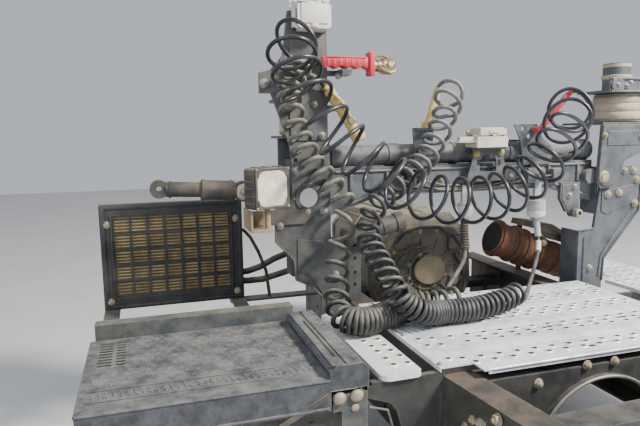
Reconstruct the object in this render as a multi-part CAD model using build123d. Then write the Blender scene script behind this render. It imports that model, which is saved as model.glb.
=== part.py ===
from build123d import *
import math
import os

# Back-of-cab chassis section of a tractor unit: frame rails, walkway, cab rear
# support, trailer connection coils, battery box, oil cooler, gearbox end.
# Working frame, mm: X to the vehicle's right with 0 on its centre line, Y
# forward with 0 at the walkway's front edge, Z up with 0 on the walkway's top.
# put() moves every piece by MOVE, so that the origin lies in the middle of the
# bolt pattern on the rear crossmember's back face.
os.makedirs("parts", exist_ok=True)

CM_REAR_Y = -800.0       # back face of the rear crossmember
CM_MID_Z = -160.0        # middle of its web
MOVE = (0.0, -CM_REAR_Y, -CM_MID_Z)

# --- frame rails
RAIL_X = 400.0           # outer web face, front part
RAIL_X_END = 362.0       # outer web face at the rear end
RAIL_FRONT, RAIL_KINK, RAIL_REAR = 650.0, -520.0, -850.0
RAIL_TOP, RAIL_H = -22.0, 270.0
RAIL_FLANGE, RAIL_T = 75.0, 8.0
# --- walkway
DECK_X, DECK_BACK, DECK_CUT_X, DECK_CUT_Y = 412.0, -560.0, 326.0, -516.0
DECK_T, DECK_RIM, DECK_LIP_X = 4.0, 11.0, 314.0
# --- cab rear support
TOWER_Y0, TOWER_Y1 = 10.0, 22.0
TUBE_R, TUBE_Y, TUBE_Z = 33.0, 75.0, 455.0
# --- coils
COIL_OD = 72.0           # dusty narrow coil, over the turns
COIL_OD_CABLE = 70.0     # dark narrow coil, over the turns
COIL_BIG = 120.0         # wide loose coil, over the turns
HOSE_D = 12.0


def put(name, *solids):
    shape = solids[0] if len(solids) == 1 else Compound(children=list(solids))
    export_step(shape.moved(Location(MOVE)), f"parts/{name}.step")


def bx(x0, x1, y0, y1, z0, z1):
    return Pos((x0 + x1) / 2, (y0 + y1) / 2, (z0 + z1) / 2) * Box(x1 - x0, y1 - y0, z1 - z0)


def outline(pts, r):
    if r:
        return make_face(FilletPolyline(*pts, radius=r, close=True))
    return make_face(Polyline(*pts, close=True))


def plate_xz(pts, y0, y1, r=0):
    return extrude(outline([(x, y0, z) for x, z in pts], r), amount=y1 - y0, dir=(0, 1, 0))


def plate_xy(pts, z0, z1, r=0):
    return extrude(outline([(x, y, z0) for x, y in pts], r), amount=z1 - z0, dir=(0, 0, 1))


def plate_yz(pts, x0, x1, r=0):
    return extrude(outline([(x0, y, z) for y, z in pts], r), amount=x1 - x0, dir=(1, 0, 0))


def cyl(p0, p1, r):
    v = Vector(p1) - Vector(p0)
    return Plane(origin=p0, z_dir=v) * Cylinder(r, v.length, align=(Align.CENTER, Align.CENTER, Align.MIN))


def flip(shape):
    return mirror(shape, about=Plane.YZ)


# ---------------------------------------------------------------- frame
def rail():
    out = [(-RAIL_X, RAIL_FRONT), (-RAIL_X, RAIL_KINK), (-RAIL_X_END, RAIL_REAR)]

    def strip(w, z0, z1):
        inner = [(x + w, y) for x, y in reversed(out)]
        return plate_xy(out + inner, z0, z1)

    bot = RAIL_TOP - RAIL_H
    return strip(RAIL_T, bot, RAIL_TOP) + strip(RAIL_FLANGE, RAIL_TOP - RAIL_T, RAIL_TOP) + strip(RAIL_FLANGE, bot, bot + RAIL_T)


rail_left = rail()
rail_right = flip(rail_left)
put("frame_rail_left", rail_left)
put("frame_rail_right", rail_right)

bot_in = RAIL_TOP - RAIL_H + RAIL_T      # between the flanges
top_in = RAIL_TOP - RAIL_T


def channel(y_face, depth, arch_r=0.0):
    # pressed channel, web at y_face, flanges reaching forward by depth
    x = 395.0
    c = bx(-x, x, y_face, y_face + 8, bot_in, top_in)
    c += bx(-x, x, y_face, y_face + depth, top_in - 8, top_in)
    if arch_r:
        c -= cyl((0, y_face - 1, -252), (0, y_face + 9, -252), arch_r)
        c -= bx(-arch_r, arch_r, y_face - 1, y_face + 9, bot_in - 5, -252)
        band = cyl((0, y_face - 12, -252), (0, y_face + 8, -252), arch_r + 6) - cyl((0, y_face - 13, -252), (0, y_face + 9, -252), arch_r)
        c += band & bx(-arch_r - 20, arch_r + 20, y_face - 20, y_face + 20, -252, 0)
    else:
        c += bx(-x, x, y_face, y_face + depth, bot_in, bot_in + 8)
    c -= rail_left
    c -= rail_right
    # keep what lies between the two webs
    return c.solids().sort_by(lambda s: abs(s.center().X))[0]


cm_rear = channel(CM_REAR_Y, 70)
for sx in (-100, 100):
    for sz in (-60, 60):
        cm_rear -= cyl((sx, CM_REAR_Y - 1, CM_MID_Z + sz), (sx, CM_REAR_Y + 9, CM_MID_Z + sz), 7)
cm_front = cyl((-392, 560, -256), (392, 560, -256), 26)
cm_front += bx(-392, -380, 526, 640, -284, -150) + bx(380, 392, 526, 640, -284, -150)
put("crossmembers", cm_rear, channel(-556, 55, 190), cm_front)

# ---------------------------------------------------------------- walkway
deck_pts = [(-DECK_X, 0), (-DECK_X, DECK_CUT_Y), (-DECK_CUT_X, DECK_CUT_Y), (-DECK_CUT_X, DECK_BACK),
            (DECK_CUT_X, DECK_BACK), (DECK_CUT_X, DECK_CUT_Y), (DECK_X, DECK_CUT_Y), (DECK_X, 0)]
deck = plate_xy(deck_pts, -DECK_T, 0)
deck += bx(-DECK_X, -DECK_X + 3, DECK_CUT_Y, 0, -DECK_RIM, 0)
deck += bx(DECK_X - 3, DECK_X, DECK_CUT_Y, 0, -DECK_RIM, 0)
deck += bx(-DECK_X, DECK_X, -3, 0, -DECK_RIM, 0)
deck += bx(-DECK_LIP_X, DECK_LIP_X, DECK_BACK, DECK_BACK + 3, -DECK_RIM, 0)
put("deck_plate", deck)
# bearers: front, back edge
put("deck_bearers", *[bx(-398, 398, y0, y1, RAIL_TOP, -DECK_T) for y0, y1 in ((-60, -20), (-290, -250), (-505, -465))])


def tread_plate(x0, x1, y0, y1, r, rim):
    c = Pos((x0 + x1) / 2, (y0 + y1) / 2, 0)
    outer = c * extrude(RectangleRounded(x1 - x0, y1 - y0, r), amount=-rim)
    inner = c * Pos(0, 0, -DECK_T) * extrude(RectangleRounded(x1 - x0 - 6, y1 - y0 - 6, r - 3), amount=-rim)
    return outer - inner


put("step_plate_left", tread_plate(-555, -455, -522, -60, 20, 12))
console = plate_xz([(-587, -20), (-577, -20), (-577, -12), (-400, -12), (-400, -285), (-500, -285), (-507, -125), (-516, -88), (-532, -66), (-587, -46)], -514, -500)
console += bx(-410, -400, -519, -470, -285, -60)
right_step = tread_plate(512, 758, -500, 250, 20, 12)
right_step -= bx(500, 566, -20, 260, -30, 5)
put("step_plate_right", right_step)
put("step_brackets", console, *[bx(400, 740, y, y + 14, -50, -12) + bx(400, 410, y - 20, y + 34, -200, -20) for y in (-420, -150)])

# ---------------------------------------------------------------- battery box
put("battery_box", bx(-1160, -646, -496, -112, -420, -64))
post = plate_xz([(-666, -28), (-587, -28), (-587, -420), (-646, -420), (-646, -66), (-666, -66)], -515, -496)
post += bx(-646, -587, -515, -112, -420, -408)
put("battery_bracket", post)

cover = bx(-1175, -672, -522, -110, -58, 12) - bx(-1168, -680, -515, -117, -70, 2)
cover += bx(-673, -586, -522, -130, -14, 40) - bx(-672, -593, -515, -137, -15, 30)
cover = chamfer(cover.edges().filter_by(Axis.Y).group_by(Axis.Z)[-1], 14)
put("battery_cover", cover)

# ---------------------------------------------------------------- oil cooler
base = bx(-1165, -646, -104, -64, -30, 50) - bx(-1166, -645, -98, -63, -24, 44)
base += bx(-1165, -1119, -70, 318, -30, -22) + bx(-766, -720, -70, 318, -30, -22)
base += bx(-766, -400, 272, 318, -38, -30) + bx(-766, -720, 272, 318, -38, -22) + bx(-410, -400, 240, 350, -240, -30)
put("cooler_bracket", base)
COOL_X0, COOL_X1, COOL_Z0, COOL_Z1 = -1165.0, -720.0, -22.0, 312.0
cf = bx(COOL_X0, COOL_X1, 272, 318, COOL_Z0, COOL_Z1) - bx(COOL_X0 + 35, COOL_X1 - 38, 260, 330, COOL_Z0 + 36, COOL_Z1 - 32)
put("cooler_frame", cf)
gx0, gx1, gz0, gz1 = COOL_X0 + 35, COOL_X1 - 38, COOL_Z0 + 36, COOL_Z1 - 32
grille = bx(gx0, gx1, 274, 280, gz0, gz1)
ncol, nrow, bar = 7, 5, 8.0
cw, rh = (gx1 - gx0 - bar) / ncol, (gz1 - gz0 - bar) / nrow
for i in range(ncol):
    for j in range(nrow):
        grille -= bx(gx0 + bar + i * cw, gx0 + (i + 1) * cw, 270, 284, gz0 + bar + j * rh, gz0 + (j + 1) * rh)
put("cooler_grille", grille)
put("cooler_core", bx(gx0, gx1, 284, 316, gz0, gz1))

# ---------------------------------------------------------------- cab rear support
tl_pts = [(-615, 868), (-632, 745), (-668, 705), (-701, 697), (-701, 640), (-668, 640), (-636, 551), (-618, 500),
          (-611, 450), (-611, 340), (-665, 306), (-665, 211), (-632, 176), (-611, 153), (-606, 92), (-563, 71),
          (-525, 34), (-525, -150), (-400, -150), (-400, -35), (-452, -10), (-452, 200), (-494, 215), (-494, 430),
          (-500, 500), (-500, 868)]
tl = plate_xz(tl_pts, TOWER_Y0, TOWER_Y1)
tl += bx(-500, -492, TOWER_Y1 - 1, 92, 215, 500)
tl += bx(-614, -606, TOWER_Y1 - 1, 92, 100, 450)
tl += bx(-460, -452, TOWER_Y1 - 1, 92, -10, 200)
tl += bx(-410, -400, TOWER_Y1 - 1, 110, -260, -35)
tl -= cyl((-560, 0, 337), (-560, 30, 337), 29)
for hx, hz, hr in ((-601, 336, 5), (-521, 335, 5), (-600, 449, 7)):
    tl -= cyl((hx, 0, hz), (hx, 30, hz), hr)
put("tower_left", tl)

tr_pts = [(400, -150), (524, -150), (524, -16), (527, 69), (672, 235), (676, 330), (640, 395), (560, 400), (500, 396),
          (498, 312), (480, 180), (411, 176), (411, -30), (400, -35)]
tr = plate_xz(tr_pts, TOWER_Y0, TOWER_Y1)
tr += bx(488, 496, TOWER_Y1 - 1, 92, 230, 396)
tr += bx(411, 419, TOWER_Y1 - 1, 92, -30, 176)
tr += bx(516, 524, TOWER_Y1 - 1, 92, -150, 60)
tr += bx(400, 410, TOWER_Y1 - 1, 110, -260, -35)
put("tower_right", tr)

beam_pts = [(-486, 420), (480, 420), (480, 276), (322, 330), (-322, 330), (-486, 276)]
beam = plate_xz(beam_pts, 36, 44)
beam += bx(-486, 480, 36, 92, 412, 420)
beam += bx(-322, 322, 36, 92, 330, 338)
beam += plate_xz([(322, 330), (480, 276), (480, 284), (322, 338)], 36, 92)
beam += plate_xz([(-322, 330), (-486, 276), (-486, 284), (-322, 338)], 36, 92)
beam += plate_xz([(345, 345), (345, 290), (372, 244), (404, 232), (424, 250), (424, 345)], 24, 40) + cyl((403, 12, 240), (403, 40, 240), 17)
beam += cyl((460, 10, 365), (460, 37, 365), 25)      # bump stop
put("bridge_beam", beam)
put("bridge_tube", cyl((-491, TUBE_Y, TUBE_Z), (487, TUBE_Y, TUBE_Z), TUBE_R) )
put("lock_cylinder", cyl((-438, 62, 198), (-250, 62, 240), 28) + cyl((-262, 62, 237), (-236, 62, 243), 31))
put("hose_post", bx(-408, -367, 92, 98, -22, 225) + bx(-408, -367, 92, 130, -22, -16))

# spring seats, air springs, upper arms
sr = plate_xz([(482, 549), (677, 549), (677, 462), (625, 440), (572, 420), (550, 345), (530, 325), (482, 325), (470, 345)], -6, 6)
sr += bx(482, 677, 5, 195, 541, 549)
sr += cyl((506, -9, 352), (506, 10, 352), 18)
sl = bx(-632, -492, 92, 103, 420, 520) + bx(-632, -492, 40, 190, 512, 520)
put("spring_seats", sl, sr)
put("cab_springs", cyl((-562, 115, 520), (-562, 115, 620), 58), cyl((640, 100, 549), (640, 100, 652), 82))
ua = plate_xz([(520, 700), (735, 700), (735, 652), (520, 652)], 10, 20) + bx(520, 735, 10, 170, 652, 660)
ua += cyl((620, 90, 659), (620, 90, 757), 46)
ul = bx(-640, -470, 50, 170, 620, 630) + cyl((-562, 115, 629), (-562, 115, 700), 34)
put("upper_arms", ul, ua)

damper = cyl((-968, 100, 372), (-860, 100, 366), 22) + cyl((-864, 100, 366), (-768, 100, 360), 29)
damper += cyl((-742, 80, 357), (-742, 120, 357), 30) + cyl((-775, 100, 360), (-742, 100, 357), 16)
damper += cyl((-985, 82, 373), (-985, 118, 373), 26)
damper -= cyl((-985, 80, 373), (-985, 120, 373), 8)
damper += cyl((-742, 100, 357), (-640, 100, 350), 10)
damper += bx(-650, -614, 60, 112, 322, 378)
put("lateral_damper", damper)

# ---------------------------------------------------------------- work lamp
LAMP = (-704.0, -71.0, 380.0)     # middle of the lamp, on its swivel stud
LAMP_TURN = 25.0                  # faces back and to the right
arm = plate_xz([(-757, 262), (-575, 262), (-559, 280), (-559, 302), (-590, 306), (-757, 306)], 3, 10)
arm += bx(-757, -697, -110, 9, 262, 267)
arm += bx(-757, -752, -110, 9, 262, 318)
arm += cyl((LAMP[0], LAMP[1], 266), (LAMP[0], LAMP[1], 321.5), 8)
put("lamp_bracket", arm)
at_lamp = Pos(*LAMP) * Rot(0, 0, LAMP_TURN)
shell = Pos(0, 23, 0) * Rot(90, 0, 0) * extrude(RectangleRounded(118, 112, 10), amount=46)
shell += Pos(0, 33, 0) * Rot(90, 0, 0) * extrude(RectangleRounded(92, 84, 8), amount=12)
shell -= Pos(0, -22, 0) * Box(100, 14, 96)
put("lamp_housing", at_lamp * shell)
put("lamp_lens", at_lamp * Pos(0, -21, 0) * Box(99.4, 10, 95.4))

# ---------------------------------------------------------------- sockets and couplings
PLUG_R = 24.0            # radius of both sockets' mouths
sb = bx(-598, -504, -26, 10, 868, 886) + bx(-590, -512, -26, 10, 812, 886) + bx(-610, -500, 4, 22, 868, 900)
sb += bx(-594, -577, -43, -20, 884, 896) + bx(-525, -508, -43, -20, 884, 896)
sb -= cyl((-551, -27, 848), (-551, -2, 848), PLUG_R)
put("socket_left", sb)
lid = bx(-599, -503, -44, -32, 814, 878) + bx(-571, -531, -44, -32, 877, 892)
lid = fillet(lid.edges().filter_by(Axis.Y).group_by(Axis.Z)[0], 12)
lid += cyl((-571, -38, 892), (-531, -38, 892), 6)
put("socket_left_lid", lid)

mb = plate_xz([(-14, 474), (92, 474), (98, 452), (122, 365), (-34, 365), (-8, 452)], 8, 14)
mb -= plate_xz([(13, 395), (75, 395), (75, 432), (62, 450), (26, 450), (13, 432)], 0, 20)
mb += bx(-34, -20, 13, 36, 366, 380) + bx(108, 122, 13, 36, 366, 380)
mb += bx(-14, 92, -20, 38, 468, 474)
ms = bx(-18, 92, -26, 46, 474, 508) + bx(-74, -17, -14, 4, 496, 508)
ms += bx(-16, 4, 38.5, 49.5, 500, 528) + bx(70, 90, 38.5, 49.5, 500, 528)
ms -= cyl((-64, -20, 502), (-64, 10, 502), 3)
ms -= cyl((37, 6, 482), (37, 6, 509), PLUG_R)
put("socket_mid", ms)
ml = bx(-14, 88, -30, 30, 514, 532) + bx(10, 64, 29, 46, 520, 532)
ml = fillet(ml.edges().filter_by(Axis.Z).group_by(Axis.Y)[0], 8)
ml += cyl((10, 44, 522), (64, 44, 522), 6)
put("socket_mid_lid", ml)
cb = plate_xz([(149, 546), (236, 546), (262, 500), (300, 470), (300, 412), (190, 412), (176, 489)], 22, 28)
cb += bx(190, 300, 22, 60, 420, 424)
for hx, hz in ((182, 531), (206, 506)):
    cb -= cyl((hx, 20, hz), (hx, 30, hz), 8)
cb += cyl((222, 10, 526), (222, 24, 526), 13)

GRIP_Y = -15.0
rc = bx(-527, -376, GRIP_Y - 18, GRIP_Y + 18, 706, 742) + cyl((-600, GRIP_Y, 728), (-520, GRIP_Y, 727), 11)
rc += bx(-380, -368, GRIP_Y - 22, GRIP_Y + 22, 690, 756) + cyl((-372, GRIP_Y, 722), (-345, GRIP_Y, 721), 17)
rc += cyl((-348, GRIP_Y, 720), (-300, GRIP_Y, 716), 24)
put("red_coupling", rc)
yc = cyl((-506, GRIP_Y, 652), (-426, GRIP_Y, 532), 17) + cyl((-430, GRIP_Y, 538), (-408, GRIP_Y, 505), 22)
put("yellow_coupling", yc)
put("red_sleeve", cyl((222, 10, 526), (222, -18, 526), 11) + cyl((222, -8, 522), (308, -30, 635), 10))
put("yellow_sleeve", cyl((-157, 44, 546), (-128, 42, 639), 12) + cyl((-160, 44, 538), (-160, 44, 556), 16))
rest = bx(-500, -440, 12, 20, 690, 706) + bx(-470, -440, -40, 20, 690, 706)
clip = bx(-500, -462, -8, 20, 590, 606) - cyl((-506, GRIP_Y, 652), (-426, GRIP_Y, 532), 17.3)
post = plate_xz([(-212, 538), (-138, 538), (-150, 420), (-204, 420)], 34, 41) + bx(-200, -144, 30, 62, 530, 538) + bx(-204, -150, 34, 62, 420, 424)
put("coupling_brackets", rest, clip.solids().sort_by(lambda s: s.volume)[-1], post, mb, cb)

# ports under the beam for the two long coils
pc = cyl((252, 30, 250), (252, 30, 290), 30) + bx(240, 264, 24, 36, 288, 352)
pb = cyl((-26, 30, 252), (-26, 30, 292), 23) + bx(-38, -14, 24, 36, 290, 352)
put("port_fittings", pb, pc)

# ---------------------------------------------------------------- coils and their tails
def arcs(pts, share=0.45):
    # one radius per inner corner, as large as its two runs allow
    out = []
    for a, b, c in zip(pts, pts[1:], pts[2:]):
        u, v = Vector(b) - Vector(a), Vector(c) - Vector(b)
        turn = math.radians(u.get_angle(v))
        out.append(share * min(u.length, v.length) / math.tan(turn / 2))
    return out


def hose(name, pts, d, share=0.45):
    radii = arcs(pts, share)
    path = FilletPolyline(*pts, radius=radii)
    wire = Wire(path.edges())
    start = wire ^ 0
    solid = sweep(Plane(origin=pts[0], z_dir=Vector(pts[1]) - Vector(pts[0])) * Circle(d / 2), path=wire)
    area = math.pi * d * d / 4
    print(f"{name}: length {wire.length:.0f}, volume ratio {solid.volume / area / wire.length:.4f}, radii {min(radii):.0f}..{max(radii):.0f}")
    return solid


# wide loose coil, from the parked grip down in a sag and up to the fixed fitting on the right
RED = [(-600, -66, 799), (-632, -98, 765), (-643, -125, 728), (-631, -140, 682), (-607, -148, 625),
       (-569, -156, 568), (-524, -160, 513), (-469, -164, 466), (-410, -168, 422), (-344, -168, 375),
       (-269, -166, 344), (-189, -160, 328), (-109, -154, 325), (-40, -146, 330), (19, -145, 347), (74, -146, 375),
       (125, -148, 416), (165, -150, 466), (208, -142, 526), (255, -112, 568), (288, -78, 579)]
put("coil_red", hose("coil_red", RED, COIL_BIG, 0.49))
# dusty narrow coil, from the lower grip down to the step plate and along it
YEL = [(-605, -29, 698), (-618, -29, 676), (-624, -29, 651), (-624, -29, 628), (-619, -29, 592), (-611, -29, 553),
       (-596, -29, 511), (-574, -29, 468), (-547, -29, 424), (-505, -29, 379), (-465, -29, 333), (-457, -30, 282),
       (-476, -38, 234), (-494, -58, 185), (-507, -84, 135), (-522, -125, 91), (-536, -170, 62), (-548, -222, 45),
       (-533, -257, 41), (-500, -274, 40), (-446, -254, 40), (-392, -220, 40), (-341, -190, 40), (-301, -186, 40),
       (-263, -192, 40), (-221, -191, 40), (-176, -176, 42)]
put("coil_yellow", hose("coil_yellow", YEL, COIL_OD))
# dark narrow coil, from the sleeve over the beam down to the walkway
CAB = [(-113, -20, 668), (-120, -20, 622), (-130, -20, 582), (-143, -20, 540), (-171, -22, 495), (-191, -22, 455),
       (-218, -22, 422), (-253, -24, 396), (-295, -30, 368), (-340, -42, 338), (-383, -60, 306), (-414, -86, 270),
       (-425, -120, 229), (-425, -160, 195), (-422, -200, 171), (-421, -238, 149), (-418, -268, 126),
       (-409, -288, 101), (-387, -296, 77), (-338, -290, 52), (-283, -262, 38), (-235, -266, 38), (-185, -267, 38),
       (-131, -257, 38), (-66, -234, 38), (-3, -203, 38), (42, -179, 44)]
put("coil_cable", hose("coil_cable", CAB, COIL_OD_CABLE))
TAIL_C = [(42, -179, 44), (88, -150, 24), (129, -112, 47), (182, -62, 81), (227, -20, 113), (250, 8, 147),
          (252, 28, 220), (252, 30, 250)]
put("tail_cable", hose("tail_cable", TAIL_C, HOSE_D))
TAIL_B = [(-176, -176, 42), (-182, -135, 59), (-124, -85, 84), (-75, -40, 104), (-39, -5, 126), (-30, 24, 190),
          (-26, 30, 222), (-26, 30, 252)]
put("tail_yellow", hose("tail_yellow", TAIL_B, HOSE_D))

# ---------------------------------------------------------------- gearbox, exhaust
gb_pts = [(-215, 120), (-150, 205), (120, 205), (205, 110), (215, -60), (150, -215), (-150, -215), (-215, -60)]
gb = plate_xz(gb_pts, 380, 820)
gb += plate_xz([(x * 0.8, z * 0.8) for x, z in gb_pts], 310, 381)
gb += cyl((-5, 296, 14), (-5, 312, 14), 58)
put("gearbox", gb)
foot = bx(-392, -185, 430, 500, -120, -90) + bx(-392, -384, 410, 520, -200, -60) - gb
put("gearbox_mount", foot.solids()[0], flip(foot).solids()[0])
P0, P1 = (215, 230, 130), (545, 215, 5)
ex = cyl(P0, P1, 62)
for t in (0.02, 0.22, 0.34, 0.5):
    a = [P0[i] + (P1[i] - P0[i]) * t for i in range(3)]
    b = [P0[i] + (P1[i] - P0[i]) * (t + 0.035) for i in range(3)]
    ex += cyl(a, b, 70)
ex += bx(374, 394, 270, 295, 55, 80)
put("exhaust_pipe", ex)
hs = plate_xz([(345, 166), (352, 188), (420, 178), (486, 140), (514, 100), (503, 96), (474, 128), (414, 166), (360, 174)], 150, 300)
hs += bx(374, 396, 295, 300, -22, 174)
put("heat_shield", hs)
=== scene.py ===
import math
import random

import bmesh
import bpy
from mathutils import Matrix, Vector


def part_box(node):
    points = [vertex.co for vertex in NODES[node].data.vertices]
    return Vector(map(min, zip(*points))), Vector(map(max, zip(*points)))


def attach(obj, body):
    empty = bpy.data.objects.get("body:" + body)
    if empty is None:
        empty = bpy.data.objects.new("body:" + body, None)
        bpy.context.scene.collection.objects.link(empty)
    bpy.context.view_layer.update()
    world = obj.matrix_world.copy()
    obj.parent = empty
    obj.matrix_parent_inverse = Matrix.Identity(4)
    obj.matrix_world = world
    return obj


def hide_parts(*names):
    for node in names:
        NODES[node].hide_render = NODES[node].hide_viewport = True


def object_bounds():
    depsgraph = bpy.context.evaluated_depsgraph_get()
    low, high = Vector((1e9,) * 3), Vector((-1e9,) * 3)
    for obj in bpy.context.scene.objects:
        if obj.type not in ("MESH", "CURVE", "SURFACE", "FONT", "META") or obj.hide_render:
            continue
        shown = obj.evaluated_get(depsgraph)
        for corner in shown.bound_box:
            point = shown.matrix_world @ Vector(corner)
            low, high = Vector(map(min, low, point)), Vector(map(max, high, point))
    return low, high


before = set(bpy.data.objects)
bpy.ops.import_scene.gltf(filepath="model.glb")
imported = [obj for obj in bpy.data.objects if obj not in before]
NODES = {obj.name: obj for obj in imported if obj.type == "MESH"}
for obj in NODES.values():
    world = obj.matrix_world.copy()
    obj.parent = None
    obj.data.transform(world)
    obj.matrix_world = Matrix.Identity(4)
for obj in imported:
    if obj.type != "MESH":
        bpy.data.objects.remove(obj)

CAD_BOX = [list(map(float, c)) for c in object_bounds()]
DY, DZ = 0.8, 0.16       # the working frame of the sizes below sits here
random.seed(7)


def V(x, y, z):
    """A point in the working frame, metres."""
    return Vector((x, y + DY, z + DZ))


# ------------------------------------------------------------------ camera
YAW, PITCH, ROLL = math.radians(17.06), math.radians(7.88), math.radians(-0.85)
forward = Vector((math.sin(YAW) * math.cos(PITCH), math.cos(YAW) * math.cos(PITCH), -math.sin(PITCH)))
right = Vector((math.cos(YAW), -math.sin(YAW), 0.0))
up = right.cross(forward)
right, up = (right * math.cos(ROLL) + up * math.sin(ROLL),
             up * math.cos(ROLL) - right * math.sin(ROLL))
cam_data = bpy.data.cameras.new("camera")
cam_data.sensor_fit = "HORIZONTAL"
cam_data.sensor_width = 36.0
cam_data.lens = 32.3
cam_data.clip_start = 0.02
cam_data.clip_end = 60.0
cam_data.dof.use_dof = False
camera = bpy.data.objects.new("camera", cam_data)
bpy.context.scene.collection.objects.link(camera)
camera.matrix_world = Matrix.Translation(Vector((-1.0262, -0.8137, 0.6851))) @ Matrix(
    (right, up, -forward)).transposed().to_4x4()
bpy.context.scene.camera = camera


def link(obj):
    bpy.context.scene.collection.objects.link(obj)
    return obj


# --------------------------------------------------------------- materials
class Nodes:
    """A small helper that wires up one procedural material."""

    def __init__(self, name):
        self.mat = bpy.data.materials.new(name)
        self.mat.use_nodes = True
        self.t = self.mat.node_tree
        self.bsdf = self.t.nodes["Principled BSDF"]
        self.co = self.new("ShaderNodeTexCoord").outputs["Object"]

    def new(self, kind, **props):
        n = self.t.nodes.new(kind)
        for k, v in props.items():
            setattr(n, k, v)
        return n

    def wire(self, a, b):
        self.t.links.new(a, b)

    def noise(self, scale, detail=5.0, rough=0.6, stretch=None):
        n = self.new("ShaderNodeTexNoise")
        n.inputs["Scale"].default_value = scale
        n.inputs["Detail"].default_value = detail
        n.inputs["Roughness"].default_value = rough
        if stretch:
            m = self.new("ShaderNodeMapping")
            m.inputs["Scale"].default_value = stretch
            self.wire(self.co, m.inputs["Vector"])
            self.wire(m.outputs["Vector"], n.inputs["Vector"])
        else:
            self.wire(self.co, n.inputs["Vector"])
        return n.outputs["Fac"]

    def ramp(self, fac, lo, hi, a=0.0, b=1.0):
        m = self.new("ShaderNodeMapRange")
        m.interpolation_type = "SMOOTHSTEP"
        m.inputs["From Min"].default_value = lo
        m.inputs["From Max"].default_value = hi
        m.inputs["To Min"].default_value = a
        m.inputs["To Max"].default_value = b
        self.wire(fac, m.inputs["Value"])
        return m.outputs["Result"]

    def times(self, a, b):
        m = self.new("ShaderNodeMath", operation="MULTIPLY")
        self.wire(a, m.inputs[0])
        if isinstance(b, float):
            m.inputs[1].default_value = b
        else:
            self.wire(b, m.inputs[1])
        return m.outputs[0]

    def plus(self, a, b):
        m = self.new("ShaderNodeMath", operation="ADD")
        m.use_clamp = True
        self.wire(a, m.inputs[0])
        if isinstance(b, float):
            m.inputs[1].default_value = b
        else:
            self.wire(b, m.inputs[1])
        return m.outputs[0]

    def mix(self, fac, a, b):
        m = self.new("ShaderNodeMix", data_type="RGBA")
        self.wire(fac, m.inputs[0])
        for s, v in ((6, a), (7, b)):
            if isinstance(v, tuple):
                m.inputs[s].default_value = (*v, 1.0)
            else:
                self.wire(v, m.inputs[s])
        return m.outputs[2]

    def upness(self, lo=-0.2, hi=0.9):
        g = self.new("ShaderNodeNewGeometry")
        s = self.new("ShaderNodeSeparateXYZ")
        self.wire(g.outputs["Normal"], s.inputs[0])
        return self.ramp(s.outputs["Z"], lo, hi)

    def edges(self, radius=0.004):
        """1 on a sharp edge, 0 on a flat face."""
        bev = self.new("ShaderNodeBevel", samples=4)
        bev.inputs["Radius"].default_value = radius
        g = self.new("ShaderNodeNewGeometry")
        d = self.new("ShaderNodeVectorMath", operation="DOT_PRODUCT")
        self.wire(bev.outputs["Normal"], d.inputs[0])
        self.wire(g.outputs["Normal"], d.inputs[1])
        return self.ramp(d.outputs["Value"], 0.995, 0.86)

    def bump(self, height, distance, strength=1.0):
        b = self.new("ShaderNodeBump")
        b.inputs["Strength"].default_value = strength
        b.inputs["Distance"].default_value = distance
        self.wire(height, b.inputs["Height"])
        self.wire(b.outputs["Normal"], self.bsdf.inputs["Normal"])


def srgb(r, g, b):
    def f(c):
        c /= 255.0
        return c / 12.92 if c <= 0.04045 else ((c + 0.055) / 1.055) ** 2.4
    return (f(r), f(g), f(b))


DUST = srgb(168, 152, 128)


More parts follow.
